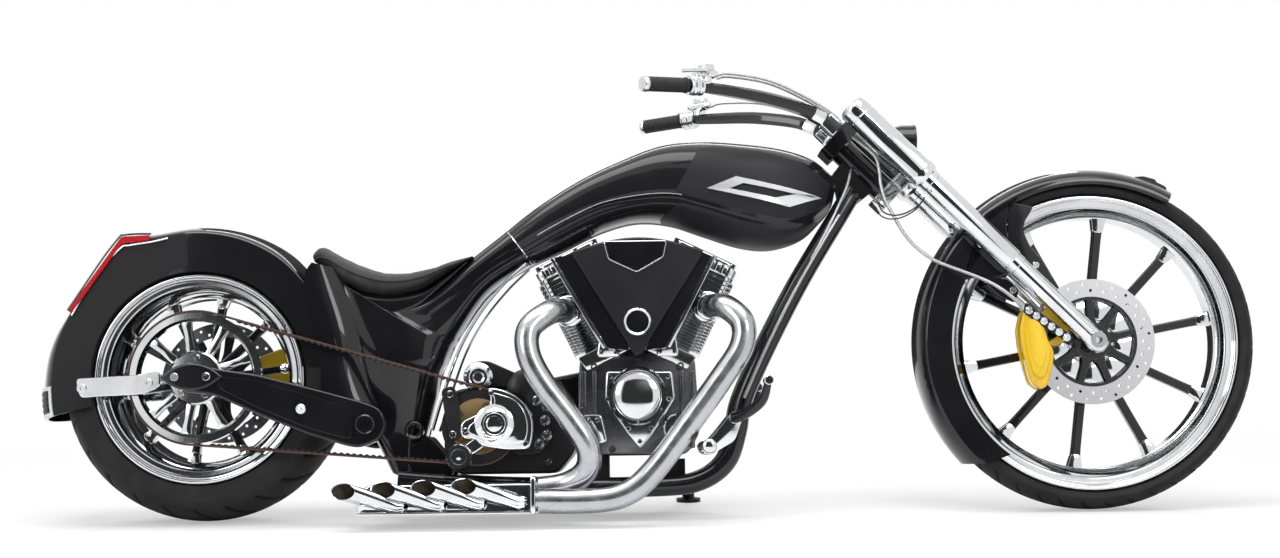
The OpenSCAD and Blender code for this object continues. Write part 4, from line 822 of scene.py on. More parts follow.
def rim_rings(at, lip_d, rim_w, well):
    """The rim's closed section: flanges, bead seats and a dropped well, turned about the axle."""
    lip, h, b = lip_d / 2, rim_w / 2, rim_w / 2 - 12.5
    outside = [(lip, b + 1), (lip - 2, b), (lip - 19, b), (lip - 20, b - 6), (lip - well, b * 0.58)]
    roll = [(lip - 6 - 6 * math.cos(t), h - 6 + 6 * math.sin(t)) for t in np.radians(np.arange(0, 181, 22.5))]
    inside = [(lip - well - 10, b * 0.55), (lip - 36, b - 8), (lip - 33, h - 14), (lip - 31, h - 12),
              (lip - 29, h - 12), (lip - 27, h - 14), (lip - 15, h - 13), *roll]
    ring = [*[(r, -y) for r, y in outside], *outside[::-1], *inside[::-1], *[(r, -y) for r, y in inside]]
    return lathe(ring, at, 160)


def swung(part, at, angle):
    """A part drawn along X from an axle, swung round to an angle."""
    x, y, z = part[0].T
    a = math.radians(angle)
    return np.column_stack([at[0] + x * math.cos(a) - z * math.sin(a), y,
                            at[1] + x * math.sin(a) + z * math.cos(a)]), part[1]


def blade(at, angle, hub_r, end_r, root, waist, foot, depth):
    """One spoke in the wheel's plane, thin across the ride direction and deep along the axle."""
    reach = end_r - hub_r
    outline = eased([(hub_r - 12, -root), (hub_r + 0.45 * reach, -waist), (end_r - 0.2 * reach, -waist),
                     (end_r, -foot), (end_r, foot), (end_r - 0.2 * reach, waist),
                     (hub_r + 0.45 * reach, waist), (hub_r - 12, root)], 14, 4)
    return swung(slab(outline, -depth, depth, 4, 2), at, angle)


def foot_block(at, angle, end_r, inner_r, waist, foot, depth):
    """The bright foot that a spoke spreads into at the rim."""
    outline = eased([(inner_r, -waist), (end_r - 8, -foot), (end_r + 3, -foot - 3), (end_r + 3, foot + 3),
                     (end_r - 8, foot), (inner_r, waist)], 8, 3)
    return swung(slab(outline, -depth, depth, 3, 2), at, angle)


SPOKES, REAR_LIP, REAR_RIM_W = 10, 487, 252
spoke_turns = [8 + 360 / SPOKES * k for k in range(SPOKES)]
piece("rear_tyre_tread", "rear_wheel", rubber,
      tyre(rear_axle, 660, 250, REAR_LIP, REAR_RIM_W, 0.42, 26, 0.8, 5), replaces=["rear_tyre"],
      slot="tyre", sharp=50)
piece("rear_rim_dish", "rear_wheel", chrome, rim_rings(rear_axle, REAR_LIP, REAR_RIM_W, 40), slot="chrome")
rear_end = REAR_LIP / 2 - 44
hub = lathe([(12.6, -138.5), (34, -138.5), (46, -128), (46, -60), (40, -40), (40, 40), (46, 60), (46, 136),
             (40, 146.4), (12.6, 146.4)], rear_axle)
piece("rear_spokes", "rear_wheel", gloss_black, hub,
      *[blade(rear_axle, a, 46, rear_end, 11, 9, 14, 15) for a in spoke_turns], replaces=["rear_rim"],
      slot="black_metal")
piece("rear_spoke_feet", "rear_wheel", chrome,
      *[foot_block(rear_axle, a, rear_end, rear_end - 30, 9, 15, 17) for a in spoke_turns], slot="chrome")


def nine_bars(at, first, corners, y0, y1, edge=2.0):
    """Nine like bars round an axle from a first angle. The corners are those of a bar along X."""
    return [swung(slab(corners, y0, y1, edge), at, first + 40 * k) for k in range(9)]


PULLEY_IN, PULLEY_OUT = 138.5, 165.5
arms = nine_bars(rear_axle, 20, eased([(50, -11), (100, -8), (136, -12), (136, 12), (100, 8), (50, 11)], 8),
                 -PULLEY_OUT + 6, -PULLEY_IN - 2)
piece("belt_pulley", "rear_wheel", chrome,
      lathe([(130, -PULLEY_OUT + 5), (136, -PULLEY_OUT), (REAR_R, -PULLEY_OUT), (REAR_R, -PULLEY_IN),
             (130, -PULLEY_IN)], rear_axle, 120),
      lathe([(15, -PULLEY_OUT), (58, -PULLEY_OUT), (62, -PULLEY_OUT + 4), (62, -PULLEY_IN), (15, -PULLEY_IN)],
            rear_axle),
      *arms, *screws(ring_of(rear_axle, 46, 5, 12), -PULLEY_OUT, r=7, height=5), replaces=["rear_pulley"],
      slot="chrome")

# Rear brake: a dark ring drilled in two rows, on a black carrier. The caliper's halves are painted yellow.
# The front ring is made the same way from bright ground steel.
ground = metal("ground_steel", (0.54, 0.54, 0.55), 0.3, 0.12, 40)


def drilled_ring(at, radii, holes, hole_r, y0, y1):
    """A flat ring in bands between radii, with a row of round holes in each band that is wide enough."""
    parts = []
    for band, (low, high) in enumerate(zip(radii, radii[1:])):
        if high - low < 3 * hole_r:
            parts.append(lathe([(low, y0), (high, y0), (high, y1), (low, y1)], at, 144))
            continue
        for k in range(holes):
            first, cell = 2 * math.pi * (k + band % 2 / 2) / holes, 2 * math.pi / holes
            t = np.arange(8) / 8
            turns = first + cell * np.concatenate([t, np.ones(4), 1 - t, np.zeros(4)])
            reach = low + (high - low) * np.concatenate([np.zeros(8), t[::2], np.ones(8), 1 - t[::2]])
            edge = np.array(at) + np.column_stack([reach * np.cos(turns), reach * np.sin(turns)])
            centre = first + cell / 2
            middle = np.array(at) + (low + high) / 2 * np.array([math.cos(centre), math.sin(centre)])
            hole = middle + hole_r * (edge - middle) / np.linalg.norm(edge - middle, axis=1, keepdims=True)
            loops = [(edge, y0), (hole, y0), (hole, y1), (edge, y1)]
            parts.append(skin([np.insert(loop, 1, y, axis=1) for loop, y in loops], capped=False))
    return parts


DISC_R, DISC_T, REAR_DISC = 146, 5, 147
piece("rear_brake_ring", "rear_wheel", dark_alloy,
      *drilled_ring(rear_axle, (112, 114, 128, 142, DISC_R), 24, 3.6, REAR_DISC, REAR_DISC + DISC_T),
      replaces=["rear_disc"], slot="steel")
carrier = nine_bars(rear_axle, 0, eased([(44, -14), (70, -9), (114, -12), (114, 12), (70, 9), (44, 14)], 8),
                    REAR_DISC + 0.5, REAR_DISC + DISC_T - 0.5, 0.8)
piece("rear_brake_carrier", "rear_wheel", satin_black, *carrier,
      lathe([(15, REAR_DISC), (52, REAR_DISC), (52, REAR_DISC + DISC_T), (15, REAR_DISC + DISC_T)],
            rear_axle), slot="black_metal")
yellow = gloss_paint("yellow_paint", (0.62, 0.40, 0.02), 0.22)
caliper_line = eased(from_axle([(92, 60), (84, 10), (100, -10), (176, 0), (182, 60), (150, 82)]), 12)
bridge_line = eased(from_axle([(160, 4), (176, 4), (182, 58), (164, 70)]), 5)
piece("rear_caliper_halves", "chassis", yellow, slab(caliper_line, 124, 139.8, 4, 2),
      slab(caliper_line, 159.2, 171.6, 4, 2), slab(bridge_line, 136, 163, 3), replaces=["rear_caliper"],
      slot="yellow_paint")


# Rear fender: a hand-formed steel shell over the tyre, gloss black on its crown. A matt charcoal panel
# covers the rear of each side, with red lamps under its upper edge and a framed vent at its foot.
def two_tone(name, dark, mark, colour, rough, shine):
    """Gloss paint with a matt field where a mark on the vertices is above zero."""
    made = Finish(name, Coat_Roughness=0.04, Specular_IOR_Level=0.15)
    field = made.mark(mark).step(-0.0005, 0.0005)
    grain = made.noise(1500, 2)
    dust = made.noise(9, 4)
    lacquered = made.mix(dust, dark, [c * 1.5 for c in dark])
    matt = made.mix(grain.step(0.3, 0.7), [c * 0.8 for c in colour], [c * 1.25 for c in colour])
    return made.wear(Base_Color=made.mix(field, lacquered, matt),
                     Roughness=field * rough + (1 - field) * (dust * 0.1 + 0.14),
                     Coat_Weight=(1 - field) * shine,
                     Normal=made.bump(grain * field, 0.00006))


fender_paint = two_tone("fender_paint", BLACK, "panel", (0.012, 0.012, 0.013), 0.5, 0.8)
FENDER_HALF, FENDER_SHEET, FENDER_IN, REAR_TYRE_R = 137, 4, REAR_LIP / 2 + 4, 330
fender_rows = smooth([(6, 10, -4), (25, 10, -4), (42, 10, -4), (50, 18, -2), (58, 24, 0), (72, 27, 2),
                      (90, 28, 4), (104, 28, 6), (112, 38, 14), (119, 54, 26), (127, 34, 12), (136, 21, 2),
                      (146, 17, -2), (154, 20, -2), (161, 30, -2), (169, 39, -2), (178, 44, -2), (187, 49, 0),
                      (194, 52, 2)], 8)


def folded_sheet(rings):
    """A thin shell over rings that run along its outer face and back along its inner one."""
    verts, faces = skin(rings, capped=False)
    size = len(rings[0])
    return verts, faces + [(base + k, base + k + 1, base + size - 2 - k, base + size - 1 - k)
                           for base in (0, len(verts) - size) for k in range(size // 2 - 1)]


shell_rings, panel_marks = [], []
arch = np.radians(np.linspace(0, 180, 41))
for degrees, mid, edge in fender_rows:
    a = math.radians(degrees)
    rise, foot = REAR_TYRE_R + mid, REAR_TYRE_R + edge
    wall = np.linspace(FENDER_IN, foot, 9)[:-1]
    inner_half = FENDER_HALF - FENDER_SHEET
    section = [*[(r, FENDER_HALF) for r in wall],
               *[(foot + (rise - foot) * math.sin(t), FENDER_HALF * math.cos(t)) for t in arch],
               *[(r, -FENDER_HALF) for r in wall[::-1]], *[(r, -inner_half) for r in wall],
               *[(foot - 2 + (rise - FENDER_SHEET - foot + 2) * math.sin(t), -inner_half * math.cos(t))
                 for t in arch], *[(r, inner_half) for r in wall[::-1]]]
    shell_rings.append([(rear_axle[0] + r * math.cos(a), y, rear_axle[1] + r * math.sin(a))
                        for r, y in section])
    front_edge = [95 + 12 * min(max((264 - r) / 17, 0), 1) ** 2 for r, y in section]
    panel_marks += [min(math.radians(degrees - start) * r, (abs(y) - FENDER_HALF + 2) * 3, 40) / 1000
                    for start, (r, y) in zip(front_edge, section)]
piece("rear_fender_shell", "chassis", fender_paint,
      (*folded_sheet(shell_rings), {"panel": np.array(panel_marks)}), replaces=["rear_fender"],
      slot="charcoal_paint")
lens = Finish("red_lens", Base_Color=(0.34, 0.002, 0.005), Coat_Weight=0.3, Coat_Roughness=0.03,
              Specular_IOR_Level=0.1)
ridges = (lens.axis(2) * 2600).sine() * 0.5 + 0.5
lens.wear(Roughness=lens.noise(60, 3) * 0.1 + 0.12, Normal=lens.bump(ridges, 0.0003))


def over_tyre(rows):
    """Points in X and Z. Row columns: angle about the rear axle, height over the tyre."""
    return from_axle([polar(REAR_TYRE_R + h, a) for a, h in rows])


def on_crown(a0, a1, t0, t1, low, high):
    """A plate on the right of the fender's crown, from a0 to a1 about the axle and t0 to t1 across it."""
    rings = []
    for a in np.linspace(a0, a1, 9):
        mid, edge = (np.interp(a, fender_rows[:, 0], fender_rows[:, i]) for i in (1, 2))
        loop = [(t, low) for t in np.linspace(t0, t1, 9)] + [(t, high) for t in np.linspace(t1, t0, 9)]
        section = [(REAR_TYRE_R + edge + polar(mid - edge + out, t)[1], polar(FENDER_HALF + out, t)[0])
                   for t, out in loop]
        rings.append(from_axle([(polar(r, a)[0], -y, polar(r, a)[1]) for r, y in section]))
    return skin(rings)


lamp_rows = [(108.4, 20), (118.2, 44), (151.9, 9), (152.3, -2), (119.4, 28), (109.2, 8)]
lamp = slab(eased(over_tyre(lamp_rows), 5, 3), -FENDER_HALF - 7, -FENDER_HALF - GAP, 1.5)
piece("tail_lamp_lenses", "chassis", lens, *both(lamp), replaces=["tail_lamps"], slot="red_lens")
silver = Finish("bright_trim", Metallic=0.5)
polish = silver.noise(20, 4)
silver.wear(Base_Color=silver.mix(polish, CHROME, (0.62, 0.63, 0.65)), Roughness=polish * 0.15 + 0.2)
edge_rows = [(102, 2), (108.8, 4), (117, 17), (121, 21), (135, 6), (152.9, -4)]
hood_rows = [(108, 22), (113, 34), (117.6, 45.5), (118.8, 45.5), (126, 29.5), (135, 14.8), (143, 8.8),
             (151.9, 10)]
lamp_edge, lamp_hood = (tube(smooth([(x, -FENDER_HALF - 4, z) for x, z in over_tyre(rows)], 8), r, 10)[:2]
                        for rows, r in ((edge_rows, 2.2), (hood_rows, 2.4)))
piece("lamp_edges", "chassis", silver, *both(lamp_edge), slot="chrome")
piece("lamp_hoods", "chassis", gloss_black, *both(lamp_hood), slot="black_paint")
piece("tail_vent_frames", "chassis", silver, *both(on_crown(182.5, 194, 9, 54, 0.3, 5.3)),
      replaces=["tail_bezels"], slot="chrome")
slats = [on_crown(a, a + 1, 19, 44, 5.5, 7.5) for a in (184.6, 186.6, 188.6, 190.6)]
piece("tail_vents", "chassis", satin_black, *both(on_crown(184, 192.4, 17, 46, 4, 5.9), *slats),
      slot="black_metal")


# Bodywork: the fuel tank and the panel behind it are hand-formed steel, gloss black with a crease along
# each side. Matt charcoal fields lie above and below the tank's crease, and a chromed frame with a dark inset
# sits in the upper one.
def section_rings(rows, per, around):
    """Rings of a superellipse. Row columns: x, z, tilt, half height, half width, squareness."""
    a = np.radians(360 * (np.arange(around) + 0.5) / around)
    rings = []
    for x, z, tilt, high, wide, square in smooth(rows, per):
        up = high * np.sign(np.sin(a)) * np.abs(np.sin(a)) ** (2 / square)
        side = wide * np.sign(np.cos(a)) * np.abs(np.cos(a)) ** (2 / square)
        lean_over = math.radians(tilt)
        rings.append(np.column_stack([x + up * math.sin(lean_over), side, z + up * math.cos(lean_over)]))
    return np.array(rings)


def to_lines(points, line):
    """The distance of each point in X and Z from a run of lines."""
    nearest = np.full(len(points), 1e9)
    for p, q in zip(np.array(line[:-1], float), np.array(line[1:], float)):
        share = np.clip(((points - p) @ (q - p)) / np.dot(q - p, q - p), 0, 1)[:, None]
        nearest = np.minimum(nearest, np.linalg.norm(points - p - share * (q - p), axis=1))
    return nearest


def within(points, outline):
    """The distance of each point from an outline's edge, below zero outside it."""
    outline = np.array(outline, float)
    crossings = np.zeros(len(points), int)
    for p, q in zip(outline, np.roll(outline, -1, 0)):
        spans = (p[1] > points[:, 1]) != (q[1] > points[:, 1])
        reach = p[0] + (q[0] - p[0]) * (points[:, 1] - p[1]) / (q[1] - p[1] if q[1] != p[1] else 1)
        crossings += spans & (points[:, 0] < reach)
    return to_lines(points, [*outline, outline[0]]) * np.where(crossings % 2, 1, -1)


JOINT, JOINT_TILT, TANK_HALF = (-296, 632), -36.9, 150
tank_rows = [(*JOINT, JOINT_TILT, 50, 82, 3), (-223, 677, -24.9, 60, 90, 3), (-128, 729, -21.7, 66, 97.5, 3),
             (-38, 762, -14.3, 75, 108, 2.9), (50, 776, -6.4, 94, 127.5, 2.7),
             (137, 767, -1.3, 111, 142.5, 2.6), (227, 750, 1, 122, TANK_HALF, 2.5),
             (312, 740, 6, 119, 141, 2.5), (384, 740, 7.2, 96, 108, 2.4), (434, 746, 10.7, 54, 54, 2.3),
             (450, 756, 10.7, 34, 36, 2.2)]
crease = smooth([(-296, 622), (-196, 677), (-103, 718), (-10, 735), (68, 735), (128, 719), (243, 685),
                 (336, 672), (405, 690), (452, 720)], 6)
upper_field = [(128, 852), (102, 802), (70, 747), (128, 729), (220, 702), (312, 683), (358, 684), (405, 704),
               (426, 718), (437, 773), (364, 818), (271, 845), (178, 858)]
lower_field = [(84, 724), (35, 691), (100, 600), (440, 600), (440, 690), (405, 682), (359, 664), (313, 660),
               (220, 680), (128, 712)]


def creased(rings, line, depth, width):
    """Rings with a rounded groove pressed into both sides along a line in X and Z."""
    points = rings.reshape(-1, 3).copy()
    near = np.exp(-(to_lines(points[:, [0, 2]], line) / width) ** 2)
    level = np.abs(points[:, 1]) / np.abs(rings[:, :, 1]).max(axis=1).repeat(rings.shape[1])
    points[:, 1] -= np.sign(points[:, 1]) * depth * near * np.clip((level - 0.45) / 0.3, 0, 1)
    return points.reshape(rings.shape)


tank_paint = two_tone("tank_paint", (0.009, 0.009, 0.010), "field", (0.019, 0.019, 0.021), 0.48, 0.4)
tank_rings = creased(section_rings(tank_rows, 12, 128), crease, 7, 9)
tank_points = tank_rings.reshape(-1, 3)[:, [0, 2]]
fields = np.maximum(within(tank_points, upper_field), within(tank_points, lower_field))
piece("fuel_tank_shell", "chassis", tank_paint, (*skin(tank_rings), {"field": fields / 1000}),
      replaces=["fuel_tank"], slot="charcoal_paint")


def on_tank(outline, lift):
    """Points in X and Z, as seen square from the side, put on the tank's right side and lifted off it."""
    sides = tank_rings.reshape(-1, 3)[:, 1]

    def side_at(x, z):
        away = np.linalg.norm(tank_points - (x, z), axis=1) + np.where(sides < 0, 0, 1e6)
        near = np.argsort(away)[:6]
        share = 1 / (away[near] + 0.5)
        return float((sides[near] * share).sum() / share.sum())

    return [(x, side_at(x, z) - lift, z) for x, z in outline]


def along_edges(corners, steps):
    corners = np.array(corners, float)
    return [tuple(p + (q - p) * k / steps)
            for p, q in zip(corners, np.roll(corners, -1, 0)) for k in range(steps)]


# A thin polished alloy bead along the rear of each crease is a painted highlight, standing in for the light
# that the crease catches.
crease_highlight_run = crease[3:27]
crease_highlight = np.array([(x, y - 2.5, z) for x, y, z in on_tank(crease_highlight_run + (0, 9), 0)])
piece("tank_crease_painted_highlights", "chassis", alloy, *both(tube(smooth(crease_highlight, 3), 1.5, 10)[:2]), slot="chrome")
frame_out = along_edges([(145, 753), (212, 779), (415, 734), (336, 708)], 10)
frame_in = along_edges([(196, 751), (229, 763), (352, 738), (302, 729)], 10)
outside, inside = on_tank(frame_out, 2), on_tank(frame_in, 2)
lift_out = [(x, y - 5, z) for x, y, z in outside]
lift_in = [(x, y - 4, z) for x, y, z in inside]
deep_in = [(x, y + 1, z) for x, y, z in inside]
trim_frame = skin([[(x, y + 6, z) for x, y, z in outside], lift_out, lift_in, deep_in], capped=False)
piece("tank_side_frames", "chassis", silver, *both(trim_frame), replaces=["tank_trim"], slot="chrome")
piece("tank_side_insets", "chassis", gloss_black,
      *both(skin([deep_in, [(x, y + 3, z) for x, y, z in inside]])), slot="black_paint")
cap_rows = [(858, 34), (860, 36), (868, 36), (869, 34), (870, 36), (872, 36), (874, 33), (875, 24)]
piece("fuel_cap", "chassis", chrome, post(cap_rows, (150, 0), 48), slot="chrome")
body_rows = [(JOINT[0] - 0.3, JOINT[1] - 0.2, JOINT_TILT, 50, 82, 3), (-391, 565, -38.8, 45, 86, 3),
             (-478, 480, -50, 62, 92, 3), (-542, 464, -62, 108, 100, 3), (-586, 472, -61.5, 150, 108, 3.2),
             (-610, 483, -57, 178, 112, 3.4), (-604, 432, -62, 150, 114, 3.4),
             (-592, 378, -71, 117, 112, 3.2), (-592, 300, -76, 98, 100, 3), (-590, 205, -68, 75, 88, 3),
             (-572, 120, -66, 46, 84.7, 3), (-566, 96, -68, 36, 84.7, 3)]
body_crease = smooth([(-296, 622), (-360, 585), (-409, 548), (-462, 512), (-520, 470)], 6)
body_rings = creased(section_rings(body_rows, 10, 112), body_crease, 4, 8)
piece("rear_body_shell", "chassis", gloss_black, skin(body_rings), replaces=["rear_body"], slot="black_paint")
trim_line = smooth([(-279, -78, 590), (-328, -82, 545), (-384, -85, 478), (-432, -90, 396), (-468, -92, 300),
                    (-498, -88, 204)], 8)
piece("body_edge_trim", "chassis", chrome, *both(tube(trim_line, 6, 14, 0.6)[:2]), slot="chrome")
joint_ring = np.vstack([body_rings[0], body_rings[0][:2]])
piece("joint_strip", "chassis", chrome, tube(joint_ring, 1.4, 8)[:2], slot="chrome")

# Body flanges: gloss black edges of the rear body that lap the fender's front on both sides.
# The pan under the seat and the keel below it are pressed from the same sheet.
flange_rows = [(-771, 594, -738, 585), (-786, 566, -725, 545), (-782, 508, -705, 480), (-762, 429, -690, 420),
               (-752, 369, -684, 362), (-744, 310, -668, 304), (-736, 268, -652, 262)]
flange_rings = [[(x0, -139, z0), ((x0 + x1) / 2, -138.6, (z0 + z1) / 2), (x1, -128, z1), (x1 + 30, -100, z1),
                 (x1 + 24, -96, z1), (x1 - 4, -124, z1), (x0, -137.6, z0)]
                for x0, z0, x1, z1 in smooth(flange_rows, 8)]
pan_rows = [(-745, 575, -38, 16, 84, 3.2), (-716, 536, -30, 30, 98, 3.6), (-675, 508, -20, 32, 106, 4),
            (-626, 494, -4, 32, 106, 4), (-576, 493, 8, 32, 102, 4), (-522, 510, 24, 30, 94, 3.6),
            (-466, 553, 32, 26, 86, 3.2), (-418, 594, 36, 14, 80, 3)]
keel_line = eased([(-596, 140), (-560, 98), (-452, 98), (-440, 128), (-476, 152), (-512, 196)], 14)
keel = slab(keel_line, -80, 80, 6, 2)
socket = lathe([(8, -80), (22, -80), (22, -96), (19, -99), (14, -97), (8, -90)], (-540, 203))
piece("body_flanges", "chassis", gloss_black, *both(skin(flange_rings), socket),
      skin(section_rings(pan_rows, 8, 64)), keel, slot="black_paint")

# Seat: black leather over foam on a moulded pan, with shallow pleats across it.
# It has a raised back lip and a welt along each side.
leather = Finish("seat_leather", Specular_IOR_Level=0.3)
grain = leather.node("TexVoronoi", None, {"Vector": leather.place(), "Scale": 420}, "Distance")
fold = leather.noise(34, 5)
leather.wear(Base_Color=leather.mix(fold.step(0.3, 0.75), (0.012, 0.012, 0.013), (0.026, 0.025, 0.025)),
             Roughness=fold * 0.25 + 0.42, Normal=leather.bump(grain * 0.6 + fold * 2, 0.0006))
SEAT_HALF = 122
seat_rows = [(-771, 600, -46, 12, 0.6 * SEAT_HALF, 2.4), (-764, 603, -42, 26, 0.74 * SEAT_HALF, 2.6),
             (-738, 598, -24, 44, 0.9 * SEAT_HALF, 2.8), (-690, 570, -18, 42, 0.97 * SEAT_HALF, 2.8),
             (-630, 548, -4, 33, SEAT_HALF, 2.8), (-575, 544, 6, 30, 0.97 * SEAT_HALF, 2.8),
             (-515, 557, 20, 29, 0.88 * SEAT_HALF, 2.8), (-460, 584, 28, 21, 0.74 * SEAT_HALF, 2.7),
             (-410, 606, 32, 8, 0.6 * SEAT_HALF, 2.6)]
seat_rings = section_rings(seat_rows, 10, 96)
shares = np.linspace(0, 1, len(seat_rings))[:, None]
seat_z = seat_rings[:, :, 2]
pleats = np.sin(shares * 26) ** 12 * np.clip((seat_z - seat_z.mean(axis=1, keepdims=True)) / 30, 0, 1)
seat_rings[:, :, 2] -= 1.2 * pleats * np.clip(np.sin(shares * math.pi) * 3 - 0.6, 0, 1)
cushion = piece("seat_cushion", "chassis", leather, skin(seat_rings), replaces=["seat"], slot="leather",
                sharp=60)
welt = [ring[np.argmax(ring[:, 1] + 0.15 * ring[:, 2])] for ring in seat_rings[4:-3]]
piece("seat_welt", "chassis", leather, *both(tube(np.array(welt), 3, 10)[:2]), slot="leather")


# Fork: two chromed telescopic legs in long covers, held by a black upper yoke and a chromed lower one that
# turn on the neck's stem. Each leg steps down from the cover to the tube and to a slim slider with a
# rounded foot.
TREE_OFFSET, LEG_Y = 70, 115
LOWER_YOKE, UPPER_YOKE, YOKE_T, LEG_TOP = -73, 97, 34, 135
stem_at = parked.inverted() @ Vector(joints["steering"]["pos_m"])
stem_line = parked.inverted().to_3x3() @ Vector(joints["steering"]["axis"])
up = np.array([stem_line.x, stem_line.z])
back = np.array([-up[1], up[0]])
neck_mid = np.array([stem_at.x, stem_at.z]) * 1000
leg_at_neck = neck_mid - back * TREE_OFFSET
axle_down = float(np.dot(leg_at_neck - front_axle, up))


def on_fork(part):
    """A part drawn with X to the bike's left, Y back from the legs and Z up along them, put on the fork."""
    side, behind, above = np.array(part[0]).T
    flat = leg_at_neck + np.outer(behind, back) + np.outer(above, up)
    return (np.column_stack([flat[:, 0], side, flat[:, 1]]), *part[1:])


FOOT = -axle_down - 30
SLIDER_TOP, COVER_FROM = FOOT + 298, -104
leg_rows = [(FOOT, 5), (FOOT + 1.5, 12), (FOOT + 5, 17.5), (FOOT + 11, 21.5), (FOOT + 20, 23.5),
            (FOOT + 40, 24), (SLIDER_TOP - 22, 24), (SLIDER_TOP - 20, 25.5), (SLIDER_TOP - 3, 25.5),
            (SLIDER_TOP - 1, 27), (SLIDER_TOP + 2, 28), (COVER_FROM - 26, 28), (COVER_FROM - 24, 29.5),
            (COVER_FROM - 10, 29.5), (COVER_FROM - 8, 31), (COVER_FROM - 4, 35), (COVER_FROM, 36.5),
            (COVER_FROM + 14, 36.5), (COVER_FROM + 17, 35), (LEG_TOP - 38, 35), (LEG_TOP - 37, 34.2),
            (LEG_TOP - 35, 34.2), (LEG_TOP - 34, 35), (LEG_TOP - 12, 35), (LEG_TOP - 6, 33),
            (LEG_TOP - 2, 28.5), (LEG_TOP, 22)]
leg = [on_fork(post(leg_rows, (-LEG_Y, 0), 72)), drum(front_axle, 25, -LEG_Y - 8, -LEG_Y + 32, 2)]
piece("fork_leg_tubes", "fork", chrome, *both(*leg), replaces=["fork_legs"], slot="chrome")
arc = [(LEG_Y + 33 * math.cos(a), 33 * math.sin(a)) for a in np.radians(np.arange(-128, 73, 10))]
yoke_line = [*arc, *eased([(62, 104), (46, 114), (-46, 114), (-62, 104)], 8, 3),
             *[(-x, y) for x, y in arc[::-1]]]
yokes = [on_fork(plate(yoke_line, s - YOKE_T / 2, s + YOKE_T / 2, 5, 3)) for s in (LOWER_YOKE, UPPER_YOKE)]
piece("fork_yoke_plates", "fork", gloss_black, yokes[1], replaces=["fork_yokes"], slot="black_metal")
piece("lower_yoke_plate", "fork", chrome, yokes[0], slot="chrome")
stem_top = UPPER_YOKE + YOKE_T / 2
nut = post([(stem_top + s, r) for s, r in ((-2, 22), (2, 22), (9, 20), (12, 14))], (0, TREE_OFFSET), 6)
piece("stem_nut", "fork", chrome, on_fork(nut), slot="chrome")

# Handlebar: two machined arms with flat faces rise from chromed clamps on the upper yoke and sweep back to
# the ribbed rubber grips, which have chromed ends. A clamp beside each grip holds a lever and its cylinder.
RISER_AT, RISER_BACK, RISER_Y, RISER_H = stem_top + 0.3, 56, 74, 42
BAR_REACH, BAR_HALF, BAR_RISE, ARM_H = 528, 310, 168, 30
riser_top = leg_at_neck + back * RISER_BACK + up * (RISER_AT + RISER_H - 16)
bar_shares = [(0.227, 0.271, 0.75), (0.3125, 0.335, 0.857), (0.487, 0.484, 0.964), (0.659, 0.655, 1.012),
              (0.788, 0.787, 1.036)]
*bar_line, grip_to = [(riser_top[0], -RISER_Y, riser_top[1]),
                      *[(neck_mid[0] - BAR_REACH * reach, -BAR_HALF * wide, neck_mid[1] + BAR_RISE * rise)
                        for reach, wide, rise in [*bar_shares, (1, 1, 1)]]]
grip_from, grip_to = np.array(bar_line[-1]), np.array(grip_to)
grip_way = unit(grip_to - grip_from)


def on_grip(part):
    """A part drawn along Z, with Y up, put on the right grip with its origin where the grip starts."""
    across = unit(np.cross((0, 0, 1), grip_way))
    axes = np.array([across, np.cross(grip_way, across), grip_way])
    return (np.array(part[0]) @ axes + grip_from, *part[1:])


def tapered(path, shares, radii, sides, squash=1.0):
    """A bar along a path, with its radius at some shares of the way and a steady change between them."""
    return tube(path, np.interp(np.linspace(0, 1, len(path)), shares, radii), sides, squash)[:2]


arm_path = smooth(bar_line, 3)
bar_arm = tapered(arm_path, [0, 0.15, 0.55, 0.8, 1], [20, 20, 19, 17, 14], 8, 0.8)
bar_end = on_grip(post([(-4, 12), (-2, 12.5), (8, 12.5), (18, 11)]))
piece("bar_arms", "fork", gloss_black, *both(bar_arm, bar_end), replaces=["handlebar"], slot="black_metal",
      sharp=20)
clamp_foot = rounded(-RISER_Y - 20, -RISER_Y + 20, RISER_BACK - 19, RISER_BACK + 21, 6)
clamp_box = on_fork(plate(clamp_foot, RISER_AT, RISER_AT + RISER_H - 2, 2.5, 2))
collar = tube(arm_path[2:5], 22, 8, 0.82)[:2]
piece("bar_clamps", "fork", chrome, *both(clamp_box, collar), slot="chrome", sharp=20)
grip_rubber = Finish("grip_rubber", Specular_IOR_Level=0.3)
knurl = (grip_rubber.mark("along") * 1400).sine() * 0.5 + 0.5
grip_dust = grip_rubber.noise(60, 4)
grip_rubber.wear(Base_Color=grip_rubber.mix(grip_dust, (0.010, 0.010, 0.010), (0.022, 0.021, 0.021)),
                 Roughness=grip_rubber.noise(90, 3) * 0.25 + 0.5, Normal=grip_rubber.bump(knurl, 0.0009))
GRIP_L = float(np.linalg.norm(grip_to - grip_from))
grip_rows = [(16, 15), (17, 18), (22, 18), (23, 16.8),
             *[(24 + 0.5 * k, 17) for k in range(int((GRIP_L - 32) * 2))], (GRIP_L - 8, 17)]
grip_body = on_grip(tube([(0, 0, z) for z, r in grip_rows], [r for z, r in grip_rows], 48))
piece("grip_sleeves", "fork", grip_rubber, *both(grip_body), replaces=["grips"], slot="rubber")
grip_cap = on_grip(post([(GRIP_L - 9, 17.6), (GRIP_L - 8, 18), (GRIP_L - 2, 18), (GRIP_L + 2, 16.4),
                         (GRIP_L + 4, 12)]))
piece("grip_ends", "fork", chrome, *both(grip_cap), slot="chrome")
CYLINDER_UP = ARM_H / 2 + 14
clamp_rows = [(-24, 20), (-22, 23), (-16, 23), (-14, 21.5), (-10, 21.5), (-8, 23), (0, 23), (2, 21.5),
              (6, 21.5), (8, 23), (10, 23), (12, 20)]
cylinder_rows = [(-66, 7), (-64, 9), (-58, 9), (-57, 12), (-20, 12), (-18, 10), (-10, 10), (-8, 11.5),
                 (-6, 8)]
